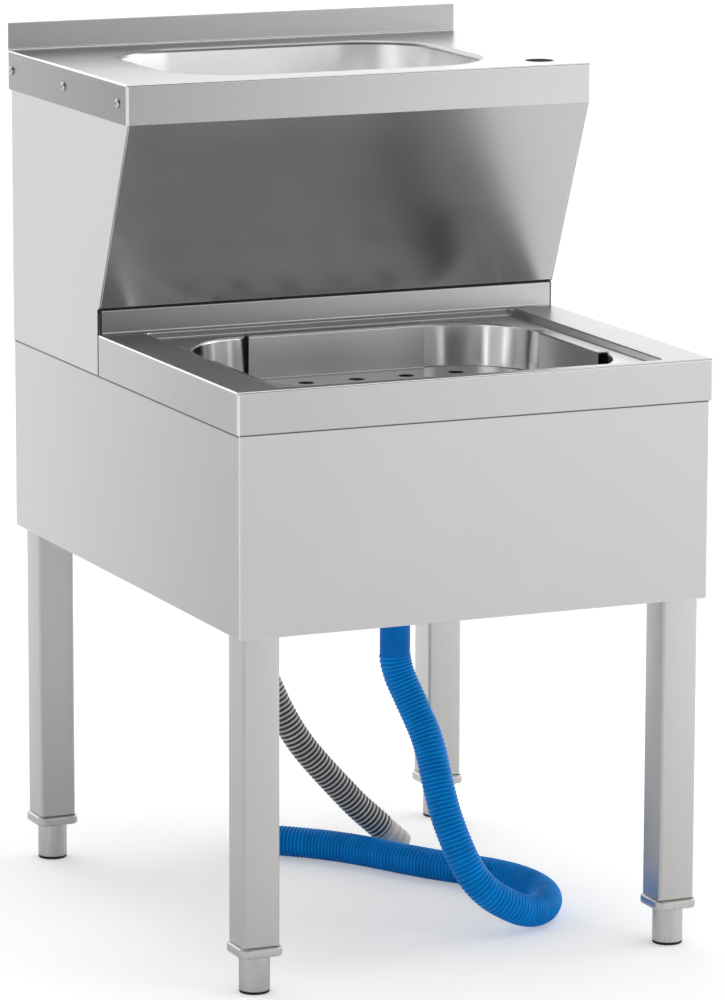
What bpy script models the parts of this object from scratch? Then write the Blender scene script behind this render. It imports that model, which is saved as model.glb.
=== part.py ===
"""Stainless steel mop sink with a raised hand basin, a lift-out strainer tray and levelling feet.

Metres, +Z up, X to the right, Y to the back. The origin is on the floor, at the middle of the footprint.
"""

import math
from typing import NamedTuple

import bmesh
import bpy
from mathutils import Matrix, Vector

# Sheet metal and fits
SHEET = 0.0012
GAP = 0.0003
OVERRUN = 0.004
EDGE_ROUND = 0.0012
CORNER_ROUND = 0.0022
CORNER_STEPS = 6
FLANGE = 0.015
HEM_HEIGHT = 0.015
SMOOTH_ANGLE = math.radians(32)
LEAST_MITRE_SHARE = 0.5
MERGE_DISTANCE = 0.00003

# Footprint
WIDTH = 0.500
DEPTH = 0.610
BACK_Y = DEPTH / 2
FRONT_Y = -DEPTH / 2

# Upper top
UPPER_DEPTH = 0.333
UPPER_LEVEL = 0.844
UPPER_APRON = 0.040
SPLASH_RISE = 0.028
SPLASH_THICK = 0.0024
TAP_HOLE_RADIUS = 0.0145
TAP_FROM_SIDE = 0.038
TAP_FROM_FRONT = 0.0415

# Hand basin
HAND_WIDTH = 0.336
HAND_LENGTH = 0.236
HAND_CORNER = 0.075
HAND_DROP = 0.130
HAND_FROM_BACK = 0.055
HAND_LIP = 0.008
HAND_DRAFT = 0.012
HAND_FLOOR_ROUND = 0.030
FLOOR_FALL = 0.005

# Upper cabinet
SLOPE_FOOT_LEVEL = 0.6135
SLOPE_FOOT_FROM_BACK = 0.2509
SIDE_FROM_BACK = 0.0063
SIDE_SEAM = 0.002
SIDE_TOP_CLEARANCE = 0.005
SLOPE_TOP_FLANGE = 0.026
RAIL_DROP = 0.074
RAIL_HEIGHT = 0.040

# Apron screws
SCREW_COUNT = 3
SCREW_FROM_BACK = 0.0113
SCREW_FROM_FRONT = 0.0237
SCREW_DROP = 0.020
SCREW_HEAD_RADIUS = 0.0047
SCREW_HEAD_HEIGHT = 0.0024
SCREW_SHANK_RADIUS = 0.0024
SCREW_SHANK_LENGTH = 0.0065
SCREW_SIDES = 12
SCREW_CROWN_SHARE = 0.6
SCREW_SHOULDER_SHARE = 0.5

# Lower top
LOWER_SETBACK = 0.001
LOWER_LEVEL = 0.587
LOWER_APRON = 0.041
UPSTAND_RISE = 0.024
UPSTAND_THICK = 0.0024
UPSTAND_END_SETBACK = 0.0035

# Mop bowl and its recess
RECESS_SIDE_BORDER = 0.0455
RECESS_FRONT_BORDER = 0.012
RECESS_BACK_BORDER = 0.0016
RECESS_CORNER = 0.010
RECESS_DROP = 0.007
RECESS_RUN = 0.008
LEDGE_SIDE = 0.0105
LEDGE_FRONT = 0.008
LEDGE_BACK = 0.0125
MOP_CORNER = 0.085
MOP_DROP = 0.195
MOP_LIP = 0.003
MOP_DRAFT = 0.012
MOP_FLOOR_ROUND = 0.035
MOP_DRAIN_BACK_OFFSET = 0.013

# Strainer tray
TRAY_CLEARANCE = 0.0085
TRAY_CORNER = 0.074
TRAY_DROP = 0.043
TRAY_LONG_FLAP = 0.191
TRAY_LONG_FLAP_SHIFT = -0.0055
TRAY_SIDE_FLAP = 0.131
TRAY_SIDE_FLAP_SHIFT = -0.011
TRAY_HOOK = 0.013
TRAY_PLAIN_FLAP_DROP = 0.004
TRAY_HOLE_RADIUS = 0.008
TRAY_HOLE_FROM_FLAP = 0.037
TRAY_HOLE_COUNT = 5
TRAY_HOLE_SIDES = 10

# Skirt
SKIRT_LEVEL = 0.350
SKIRT_TOP_CLEARANCE = 0.012
SKIRT_SIDE_FROM_BACK = 0.0015
SKIRT_BACK_FROM_BACK = 0.009
SKIRT_FLANGE = 0.012
SKIRT_NOTCH = 0.002

# Legs, brackets, collars and feet
LEG_SIZE = 0.038
LEG_WALL = 0.0015
LEG_ROUND = 0.003
LEG_STEPS = 3
LEG_INSET = 0.0058
LEG_TOP = 0.545
BRACKET_ARM_LENGTH = 0.056
BRACKET_LEVEL = 0.445
BRACKET_HEIGHT = 0.085
COLLAR_LEVEL = 0.038
COLLAR_THICK = 0.0095
COLLAR_OVERHANG = 0.003
PLUG_HEIGHT = 0.028
STEM_RADIUS = 0.006
STEM_CLEARANCE = 0.0004
STEM_LENGTH = 0.055
FOOT_RADIUS = 0.015
FOOT_EDGE = 0.0012
FOOT_HEADROOM = 0.0015
FOOT_SIDES = 20
SOLE_THICK = 0.002
SOLE_SETBACK = 0.0003

# Waste fittings
DRAIN_RADIUS = 0.026
DRAIN_SEAT = 0.012
STRAINER_RADIUS = 0.035
STRAINER_SPIGOT_DROP = 0.004
STRAINER_SPIGOT_WALL = 0.0015
STRAINER_HOLE_RADIUS = 0.0035
STRAINER_HOLE_CIRCLE = 0.014
STRAINER_HOLE_COUNT = 6
STRAINER_SCREW_RADIUS = 0.005
STRAINER_SCREW_HEIGHT = 0.0015
WASHER_THICK = 0.003
WASHER_RADIUS = 0.037
BODY_FLANGE_RADIUS = 0.036
BODY_FLANGE_THICK = 0.003
BODY_CUP_RADIUS = 0.029
BODY_CUP_DROP = 0.022
BODY_CONE_DROP = 0.014
BODY_TAIL_RADIUS = 0.0125
BODY_TAIL_DROP = 0.030
BODY_WALL = 0.002
NUT_RADIUS = 0.038
NUT_HEIGHT = 0.010
WASTE_SIDES = 20
HOLE_SIDES = 8

# Hoses and their cuffs
CUFF_OVERSIZE = 0.001
CUFF_LENGTH = 0.032
CUFF_BELOW_TAIL = 0.0042
CUFF_SIDES = 20
CUFF_END_WALL = 0.003
BLUE_RADIUS = 0.016
BLUE_RIBS = 84
BLUE_END_CUFF = 0.034
GREY_RADIUS = 0.0145
GREY_RIBS = 64
GREY_END_CUFF = 0.030
RIB_ROOT_SHARE = 0.88
PLAIN_END_SHARE = 0.95
HOSE_BORE = 0.0105
BORE_POINT_PITCH = 0.020
ROUTE_STEPS = 12

# Centre line of the blue hose, from the cuff on the mop bowl's waste to its end cuff on the floor
BLUE_ROUTE = [
    (0.0000, -0.1095, 0.3097), (0.0000, -0.1095, 0.2777), (0.0031, -0.1121, 0.2573),
    (0.0095, -0.1189, 0.2377), (0.0156, -0.1278, 0.2185), (0.0207, -0.1376, 0.1994),
    (0.0232, -0.1474, 0.1798), (0.0242, -0.1568, 0.1599), (0.0256, -0.1660, 0.1398),
    (0.0283, -0.1749, 0.1198), (0.0331, -0.1832, 0.1000), (0.0398, -0.1899, 0.0802),
    (0.0494, -0.1947, 0.0615), (0.0637, -0.1971, 0.0461), (0.0815, -0.1966, 0.0341),
    (0.1000, -0.1921, 0.0245), (0.1183, -0.1831, 0.0187), (0.1347, -0.1697, 0.0167),
    (0.1477, -0.1525, 0.0165), (0.1572, -0.1331, 0.0165), (0.1625, -0.1121, 0.0165),
    (0.1634, -0.0904, 0.0165), (0.1608, -0.0688, 0.0165), (0.1545, -0.0479, 0.0165),
    (0.1448, -0.0284, 0.0165), (0.1327, -0.0100, 0.0165), (0.1198, 0.0079, 0.0165),
    (0.1070, 0.0259, 0.0165), (0.0951, 0.0445, 0.0165), (0.0841, 0.0636, 0.0165),
    (0.0737, 0.0830, 0.0165), (0.0630, 0.1024, 0.0165), (0.0513, 0.1210, 0.0165),
    (0.0380, 0.1386, 0.0165), (0.0225, 0.1555, 0.0165), (-0.0010, 0.1775, 0.0165),
]

# Centre line of the grey hose, from the cuff on the hand basin's waste to its end cuff
GREY_ROUTE = [
    (0.0000, 0.1320, 0.6387), (0.0000, 0.1320, 0.6067), (-0.0020, 0.1320, 0.5750),
    (-0.0090, 0.1318, 0.5250), (-0.0190, 0.1315, 0.4750), (-0.0300, 0.1312, 0.4250),
    (-0.0405, 0.1308, 0.3750), (-0.0485, 0.1304, 0.3250), (-0.0525, 0.1300, 0.2800),
    (-0.0500, 0.1300, 0.2450), (-0.0424, 0.1300, 0.2154), (-0.0313, 0.1300, 0.1890),
    (-0.0198, 0.1300, 0.1655), (-0.0079, 0.1300, 0.1449), (0.0044, 0.1300, 0.1271),
    (0.0163, 0.1300, 0.1125), (0.0277, 0.1300, 0.0994), (0.0450, 0.1300, 0.0802),
    (0.0567, 0.1300, 0.0676), (0.0686, 0.1300, 0.0553), (0.0939, 0.1300, 0.0320),
]

# Levels and places worked out from the sizes above
UPPER_HALF_X = WIDTH / 2
UPPER_FRONT_Y = BACK_Y - UPPER_DEPTH
UPPER_APRON_LEVEL = UPPER_LEVEL - UPPER_APRON
SCREW_PITCH = (UPPER_DEPTH - SCREW_FROM_BACK - SCREW_FROM_FRONT) / (SCREW_COUNT - 1)
RAIL_LEVEL = UPPER_LEVEL - RAIL_DROP
HAND_CENTRE_Y = BACK_Y - HAND_FROM_BACK - HAND_LENGTH / 2
HAND_FLOOR_LEVEL = UPPER_LEVEL - HAND_DROP
SIDE_OUTER_X = UPPER_HALF_X - SHEET - GAP
SIDE_INNER_X = SIDE_OUTER_X - SHEET
SIDE_HEM_X = SIDE_INNER_X - SHEET
SKIRT_X = SIDE_HEM_X - GAP
LOWER_HALF_X = UPPER_HALF_X - LOWER_SETBACK
LOWER_HEM = LOWER_HALF_X - SKIRT_X - GAP
LOWER_APRON_LEVEL = LOWER_LEVEL - LOWER_APRON
UPSTAND_FACE_Y = BACK_Y - SLOPE_FOOT_FROM_BACK
LOWER_BACK_Y = UPSTAND_FACE_Y + UPSTAND_THICK
SKIRT_FRONT_Y = FRONT_Y + LOWER_HEM + GAP
SKIRT_BACK_Y = BACK_Y - SKIRT_BACK_FROM_BACK
SKIRT_TOP = LOWER_LEVEL - SKIRT_TOP_CLEARANCE
LEDGE_LEVEL = LOWER_LEVEL - RECESS_DROP
MOP_FLOOR_LEVEL = LEDGE_LEVEL - MOP_DROP
LEG_X = SKIRT_X - LEG_INSET - LEG_SIZE / 2
LEG_FRONT_Y = SKIRT_FRONT_Y + LEG_INSET + LEG_SIZE / 2
LEG_BACK_Y = SKIRT_BACK_Y - LEG_INSET - LEG_SIZE / 2
CORNERS = {
    "front_left": (-1, -1),
    "front_right": (1, -1),
    "back_left": (-1, 1),
    "back_right": (1, 1),
}


class Station(NamedTuple):
    """One level of a lofted body: a rounded rectangle, or a circle where both halves equal the radius."""

    half_x: float
    half_y: float
    radius: float
    centre_y: float
    level: float


def clear_scene():
    for item in list(bpy.data.objects):
        bpy.data.objects.remove(item, do_unlink=True)


def make_material(name, colour, roughness, metallic):
    material = bpy.data.materials.new(name)
    material.use_nodes = True
    shader = material.node_tree.nodes["Principled BSDF"]
    shader.inputs["Base Color"].default_value = (*colour, 1.0)
    shader.inputs["Roughness"].default_value = roughness
    shader.inputs["Metallic"].default_value = metallic
    material.diffuse_color = (*colour, 1.0)
    return material


def add_object(name, mesh_data, material, location=(0, 0, 0)):
    """Turn a bmesh into a named object with its normals out and its round faces smooth."""
    bmesh.ops.recalc_face_normals(mesh_data, faces=mesh_data.faces)
    mesh = bpy.data.meshes.new(name)
    mesh_data.to_mesh(mesh)
    mesh_data.free()
    if material:
        mesh.materials.append(material)
    mesh.shade_smooth()
    mesh.set_sharp_from_angle(angle=SMOOTH_ANGLE)
    item = bpy.data.objects.new(name, mesh)
    item.location = location
    bpy.context.scene.collection.objects.link(item)
    return item


def hide_tool(item):
    item.hide_render = True
    item.display_type = "WIRE"
    return item


def combine(target, tool, operation):
    """Cut a tool body out of a target, or join it on, with a Boolean modifier."""
    modifier = target.modifiers.new(f"{operation.lower()} {tool.name}", "BOOLEAN")
    modifier.operation = operation
    modifier.solver = "EXACT"
    modifier.object = hide_tool(tool)


def add_box(mesh_data, low, high):
    """Add a closed box between two corners."""
    size = Vector(high) - Vector(low)
    middle = (Vector(high) + Vector(low)) / 2
    matrix = Matrix.Translation(middle) @ Matrix.Diagonal((*size, 1.0))
    bmesh.ops.create_cube(mesh_data, size=1.0, matrix=matrix)


def box_object(name, low, high, material=None):
    mesh_data = bmesh.new()
    add_box(mesh_data, low, high)
    return add_object(name, mesh_data, material)


def loop_points(station, steps):
    """Corner by corner points of a station, without a doubled point where it is a circle."""
    straight_x = station.half_x - station.radius
    straight_y = station.half_y - station.radius
    quarter = math.pi / 2
    is_circle = straight_x < GAP and straight_y < GAP
    inset = quarter / (2 * steps) if is_circle else 0.0
    points = []
    for corner, (side_x, side_y) in enumerate([(1, 1), (-1, 1), (-1, -1), (1, -1)]):
        for step in range(steps):
            angle = corner * quarter + inset + step * (quarter - 2 * inset) / (steps - 1)
            x = side_x * straight_x + station.radius * math.cos(angle)
            y = station.centre_y + side_y * straight_y + station.radius * math.sin(angle)
            points.append(Vector((x, y, station.level)))
    return points


def lofted_ring(name, stations, material, steps=CORNER_STEPS):
    """A closed ring-shaped body whose skin runs through the stations and back to the first one."""
    mesh_data = bmesh.new()
    loops = [[mesh_data.verts.new(p) for p in loop_points(s, steps)] for s in stations]
    for index, loop in enumerate(loops):
        following = loops[(index + 1) % len(loops)]
        count = len(loop)
        for k in range(count):
            n = (k + 1) % count
            mesh_data.faces.new((loop[k], loop[n], following[n], following[k]))
    return add_object(name, mesh_data, material)


def grown(station, amount, drop=0.0):
    """The same station, larger all round by an amount and lower by a drop."""
    return Station(
        station.half_x + amount,
        station.half_y + amount,
        station.radius + amount,
        station.centre_y,
        station.level - drop,
    )


def sheet_under(stations, thickness):
    """The stations of a pressed sheet's under side, listed from the inner end back to the rim."""
    under = []
    last = len(stations) - 1
    for index, station in enumerate(stations):
        if index in (0, last):
            under.append(grown(station, 0.0, thickness))
            continue
        before = stations[index - 1]
        after = stations[index + 1]
        first = Vector((before.half_x - station.half_x, before.level - station.level)).normalized()
        second = Vector((after.half_x - station.half_x, after.level - station.level)).normalized()
        normal_in = Vector((-first.y, first.x))
        normal_out = Vector((second.y, -second.x))
        mitre = (normal_in + normal_out).normalized()
        if mitre.x - mitre.y < 0:
            mitre = -mitre
        reach = thickness / max(abs(mitre.dot(normal_in)), LEAST_MITRE_SHARE)
        under.append(grown(station, mitre.x * reach, -mitre.y * reach))
    return list(reversed(under))


def turned(name, profile, sides, material, location=(0, 0, 0)):
    """A body turned about Z. Its closed profile lists (radius, height); radius 0 makes a pole."""
    mesh_data = bmesh.new()
    rings = []
    for radius, height in profile:
        if radius == 0:
            rings.append([mesh_data.verts.new((0, 0, height))])
            continue
        ring = []
        for k in range(sides):
            angle = 2 * math.pi * k / sides
            ring.append(mesh_data.verts.new((radius * math.cos(angle), radius * math.sin(angle), height)))
        rings.append(ring)
    closed = all(len(ring) > 1 for ring in rings)
    pairs = list(zip(rings, rings[1:]))
    if closed:
        pairs.append((rings[-1], rings[0]))
    for lower, upper in pairs:
        for k in range(sides):
            n = (k + 1) % sides
            if len(lower) == 1:
                mesh_data.faces.new((lower[0], upper[k], upper[n]))
            elif len(upper) == 1:
                mesh_data.faces.new((lower[k], lower[n], upper[0]))
            else:
                mesh_data.faces.new((lower[k], lower[n], upper[n], upper[k]))
    return add_object(name, mesh_data, material, location)


def extruded(name, outline, low, high, axis, material):
    """A flat outline pushed along X or Z. The outline lists (y, z) for X and (x, y) for Z."""
    mesh_data = bmesh.new()
    ends = []
    for place in (low, high):
        if axis == "X":
            ends.append([mesh_data.verts.new((place, u, v)) for u, v in outline])
        else:
            ends.append([mesh_data.verts.new((u, v, place)) for u, v in outline])
    mesh_data.faces.new(ends[0])
    mesh_data.faces.new(reversed(ends[1]))
    count = len(outline)
    for k in range(count):
        n = (k + 1) % count
        mesh_data.faces.new((ends[0][k], ends[0][n], ends[1][n], ends[1][k]))
    return add_object(name, mesh_data, material)


def folded_outline(path, thickness):
    """Outline of a folded sheet whose outer face follows a path; the sheet lies to the path's left."""
    points = [Vector(p) for p in path]
    inner = []
    for index, point in enumerate(points):
        normals = []
        if index > 0:
            run = (point - points[index - 1]).normalized()
            normals.append(Vector((-run.y, run.x)))
        if index < len(points) - 1:
            run = (points[index + 1] - point).normalized()
            normals.append(Vector((-run.y, run.x)))
        mitre = sum(normals, Vector((0, 0))).normalized()
        inner.append(point + mitre * thickness / mitre.dot(normals[0]))
    return [tuple(p) for p in points] + [tuple(p) for p in reversed(inner)]


def cylinder_tool(name, places, radius, low, high, sides):
    """One cutter of upright round bars at several places."""
    mesh_data = bmesh.new()
    for x, y in places:
        matrix = Matrix.Translation((x, y, (low + high) / 2))
        bmesh.ops.create_cone(
            mesh_data, cap_ends=True, segments=sides, radius1=radius, radius2=radius,
            depth=high - low, matrix=matrix,
        )
    return add_object(name, mesh_data, None)


def screw_places():
    """Y of each screw, from the back."""
    return [BACK_Y - SCREW_FROM_BACK - k * SCREW_PITCH for k in range(SCREW_COUNT)]


def screw_hole_tool():
    """Round bars along X through both side aprons and the panels behind them."""
    mesh_data = bmesh.new()
    radius = SCREW_SHANK_RADIUS + GAP
    for side in (-1, 1):
        for y in screw_places():
            centre = Vector((side * (UPPER_HALF_X - SCREW_SHANK_LENGTH / 2), y, UPPER_LEVEL - SCREW_DROP))
            matrix = Matrix.Translation(centre) @ Matrix.Rotation(math.pi / 2, 4, "Y")
            bmesh.ops.create_cone(
                mesh_data, cap_ends=True, segments=HOLE_SIDES, radius1=radius, radius2=radius,
                depth=SCREW_SHANK_LENGTH + 2 * OVERRUN, matrix=matrix,
            )
    return add_object("tool_screw_holes", mesh_data, None)


def hand_opening(level):
    """Edge of the hole in the upper top, which the basin's soft rim fills."""
    return Station(
        HAND_WIDTH / 2 + HAND_LIP, HAND_LENGTH / 2 + HAND_LIP, HAND_CORNER + HAND_LIP, HAND_CENTRE_Y, level,
    )


def make_upper_top(material):
    """Flat top with aprons on all sides, a low upstand at the back, the basin hole and the tap hole."""
    half_y = UPPER_DEPTH / 2
    outer = Station(UPPER_HALF_X, half_y, CORNER_ROUND, BACK_Y - half_y, UPPER_LEVEL)
    hole = grown(hand_opening(UPPER_LEVEL), GAP)
    inner = grown(outer, -SHEET)
    item = lofted_ring(
        "upper_top",
        [
            hole,
            grown(outer, -EDGE_ROUND),
            grown(outer, 0.0, EDGE_ROUND),
            grown(outer, 0.0, UPPER_APRON),
            grown(inner, 0.0, UPPER_APRON),
            grown(inner, 0.0, SHEET),
            grown(hole, 0.0, SHEET),
        ],
        material,
    )
    splash = box_object(
        "tool_splash",
        (-UPPER_HALF_X + GAP, BACK_Y - SPLASH_THICK, UPPER_LEVEL - SHEET / 2),
        (UPPER_HALF_X - GAP, BACK_Y - GAP, UPPER_LEVEL + SPLASH_RISE),
    )
    combine(item, splash, "UNION")
    tap_place = (UPPER_HALF_X - TAP_FROM_SIDE, UPPER_FRONT_Y + TAP_FROM_FRONT)
    tap = cylinder_tool(
        "tool_tap_hole", [tap_place], TAP_HOLE_RADIUS,
        UPPER_LEVEL - SHEET - OVERRUN, UPPER_LEVEL + OVERRUN, WASTE_SIDES,
    )
    combine(item, tap, "DIFFERENCE")
    return item


def basin_stations(rim, opening, floor_level, draft, floor_round, drain_y):
    """Upper skin of a basin from its rim stations, down the drafted wall, to the drain hole."""
    wall_foot = grown(opening, -draft, opening.level - floor_level - floor_round)
    sine_share = math.sin(math.pi / 4)
    bend = grown(wall_foot, -floor_round * (1 - sine_share), floor_round * sine_share)
    floor_edge = grown(wall_foot, -floor_round, floor_round - FLOOR_FALL)
    seat_radius = DRAIN_RADIUS + DRAIN_SEAT
    seat = Station(seat_radius, seat_radius, seat_radius, drain_y, floor_level)
    drain = Station(DRAIN_RADIUS, DRAIN_RADIUS, DRAIN_RADIUS, drain_y, floor_level)
    return [*rim, opening, wall_foot, bend, floor_edge, seat, drain]


def make_hand_basin(material):
    """Drawn basin with a soft rounded rim, flush with the upper top."""
    flush = hand_opening(UPPER_LEVEL)
    opening = grown(flush, -HAND_LIP, HAND_LIP)
    sine_share = math.sin(math.pi / 4)
    shoulder = grown(flush, -HAND_LIP * sine_share, HAND_LIP * (1 - sine_share))
    stations = basin_stations(
        [flush, grown(flush, -SHEET), shoulder], opening, HAND_FLOOR_LEVEL, HAND_DRAFT,
        HAND_FLOOR_ROUND, HAND_CENTRE_Y,
    )
    return lofted_ring("hand_basin", stations + sheet_under(stations, SHEET), material)


def slope_y(level):
    """Y of the sloping panel's outer face at a level."""
    top_y = UPPER_FRONT_Y + SHEET + GAP
    share = (level - SLOPE_FOOT_LEVEL) / (UPPER_APRON_LEVEL - SLOPE_FOOT_LEVEL)
    return UPSTAND_FACE_Y + (top_y - UPSTAND_FACE_Y) * share


def make_side_panel(name, side, material):
    """Tapered side panel with a hemmed foot and a flange turned in along its back edge."""
    back_y = BACK_Y - SIDE_FROM_BACK
    front_y = LOWER_BACK_Y + SIDE_SEAM
    top = UPPER_LEVEL - SHEET - SIDE_TOP_CLEARANCE
    foot = LOWER_APRON_LEVEL
    outline = [
        (back_y, foot),
        (front_y, foot),
        (front_y, SLOPE_FOOT_LEVEL - SIDE_SEAM),
        (UPSTAND_FACE_Y, SLOPE_FOOT_LEVEL),
        (slope_y(UPPER_APRON_LEVEL), UPPER_APRON_LEVEL),
        (slope_y(UPPER_APRON_LEVEL), top),
        (back_y, top),
    ]
    edges = sorted((side * SIDE_OUTER_X, side * SIDE_INNER_X))
    item = extruded(name, outline, edges[0], edges[1], "X", material)
    hem = sorted((side * (SIDE_OUTER_X - SHEET / 2), side * SIDE_HEM_X))
    hem_tool = box_object(
        f"tool_{name}_hem", (hem[0], front_y + SHEET, foot + GAP), (hem[1], back_y - SHEET, foot + HEM_HEIGHT),
    )
    combine(item, hem_tool, "UNION")
    flange = sorted((side * (SIDE_OUTER_X - SHEET / 2), side * (SIDE_INNER_X - FLANGE)))
    flange_tool = box_object(
        f"tool_{name}_flange", (flange[0], back_y - SHEET - GAP, SKIRT_TOP + SIDE_SEAM),
        (flange[1], back_y - GAP, top - GAP),
    )
    combine(item, flange_tool, "UNION")
    return item


def make_front_panel(material):
    """Sloping panel with a foot turned back and a top turned up behind the front apron."""
    top_y = slope_y(UPPER_APRON_LEVEL)
    path = [
        (top_y, UPPER_APRON_LEVEL + SLOPE_TOP_FLANGE),
        (top_y, UPPER_APRON_LEVEL),
        (UPSTAND_FACE_Y, SLOPE_FOOT_LEVEL),
        (UPSTAND_FACE_Y + FLANGE, SLOPE_FOOT_LEVEL),
    ]
    half = SIDE_INNER_X - GAP
    return extruded("upper_front_panel", folded_outline(path, SHEET), -half, half, "X", material)


def make_back_rail(material):
    """Channel that ties the side panels together under the basin's back edge."""
    outer_y = BACK_Y - SIDE_FROM_BACK - SHEET - 2 * GAP
    path = [
        (outer_y - FLANGE, RAIL_LEVEL),
        (outer_y, RAIL_LEVEL),
        (outer_y, RAIL_LEVEL + RAIL_HEIGHT),
        (outer_y - FLANGE, RAIL_LEVEL + RAIL_HEIGHT),
    ]
    half = SIDE_INNER_X - GAP
    return extruded("upper_back_rail", folded_outline(path, SHEET), -half, half, "X", material)


def make_apron_screws(material):
    """Pan-head screws through the side aprons into the side panels."""
    head = SCREW_HEAD_HEIGHT
    profile = [
        (0, head),
        (SCREW_HEAD_RADIUS * SCREW_CROWN_SHARE, head),
        (SCREW_HEAD_RADIUS, head * SCREW_SHOULDER_SHARE),
        (SCREW_HEAD_RADIUS, GAP),
        (SCREW_SHANK_RADIUS, GAP),
        (SCREW_SHANK_RADIUS, -SCREW_SHANK_LENGTH),
        (0, -SCREW_SHANK_LENGTH),
    ]
    for side, side_name in ((-1, "left"), (1, "right")):
        for number, y in enumerate(screw_places(), start=1):
            place = (side * UPPER_HALF_X, y, UPPER_LEVEL - SCREW_DROP)
            item = turned(f"apron_screw_{side_name}_{number}", profile, SCREW_SIDES, material, place)
            item.rotation_euler = (0, side * math.pi / 2, 0)


def recess_rim(level):
    """Edge of the hole in the lower top, where the pressed recess begins."""
    front = FRONT_Y + RECESS_FRONT_BORDER
    back = UPSTAND_FACE_Y - RECESS_BACK_BORDER
    return Station(
        LOWER_HALF_X - RECESS_SIDE_BORDER, (back - front) / 2, RECESS_CORNER, (back + front) / 2, level,
    )


def mop_opening():
    """Edge of the mop bowl in the recess."""
    foot = grown(recess_rim(LEDGE_LEVEL), -RECESS_RUN)
    front = foot.centre_y - foot.half_y + LEDGE_FRONT
    back = foot.centre_y + foot.half_y - LEDGE_BACK
    return Station(foot.half_x - LEDGE_SIDE, (back - front) / 2, MOP_CORNER, (back + front) / 2, LEDGE_LEVEL)


def make_lower_top(material):
    """Flat border with hemmed aprons and a low upstand under the sloping panel."""
    half_y = (LOWER_BACK_Y - FRONT_Y) / 2
    outer = Station(LOWER_HALF_X, half_y, CORNER_ROUND, (LOWER_BACK_Y + FRONT_Y) / 2, LOWER_LEVEL)
    hole = grown(recess_rim(LOWER_LEVEL), GAP)
    inner = grown(outer, -SHEET)
    hem = Station(
        outer.half_x - LOWER_HEM, outer.half_y - LOWER_HEM, GAP, outer.centre_y, LOWER_LEVEL,
    )
    item = lofted_ring(
        "lower_top",
        [
            hole,
            grown(outer, -EDGE_ROUND),
            grown(outer, 0.0, EDGE_ROUND),
            grown(outer, 0.0, LOWER_APRON),
            grown(hem, 0.0, LOWER_APRON),
            grown(hem, 0.0, LOWER_APRON - HEM_HEIGHT),
            grown(inner, 0.0, LOWER_APRON - HEM_HEIGHT),
            grown(inner, 0.0, SHEET),
            grown(hole, 0.0, SHEET),
        ],
        material,
    )
    half = LOWER_HALF_X - UPSTAND_END_SETBACK
    upstand = box_object(
        "tool_upstand",
        (-half, UPSTAND_FACE_Y, LOWER_LEVEL - SHEET / 2),
        (half, LOWER_BACK_Y - GAP, LOWER_LEVEL + UPSTAND_RISE),
    )
    combine(item, upstand, "UNION")
    open_back = box_object(
        "tool_lower_back",
        (-hem.half_x, LOWER_BACK_Y - LOWER_HEM - OVERRUN, LOWER_APRON_LEVEL - OVERRUN),
        (hem.half_x, LOWER_BACK_Y + OVERRUN, LOWER_LEVEL - SHEET),
    )
    combine(item, open_back, "DIFFERENCE")
    return item


def make_mop_bowl(material):
    """Pressed recess with a flat ledge, and the deep drawn bowl inside it."""
    rim = recess_rim(LOWER_LEVEL)
    foot = grown(rim, -RECESS_RUN, RECESS_DROP)
    edge = mop_opening()
    ledge_end = grown(edge, MOP_LIP)
    opening = grown(edge, 0.0, MOP_LIP)
    drain_y = edge.centre_y + MOP_DRAIN_BACK_OFFSET
    stations = basin_stations(
        [rim, foot, ledge_end], opening, MOP_FLOOR_LEVEL, MOP_DRAFT, MOP_FLOOR_ROUND, drain_y,
    )
    return lofted_ring("mop_bowl", stations + sheet_under(stations, SHEET), material)


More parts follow.
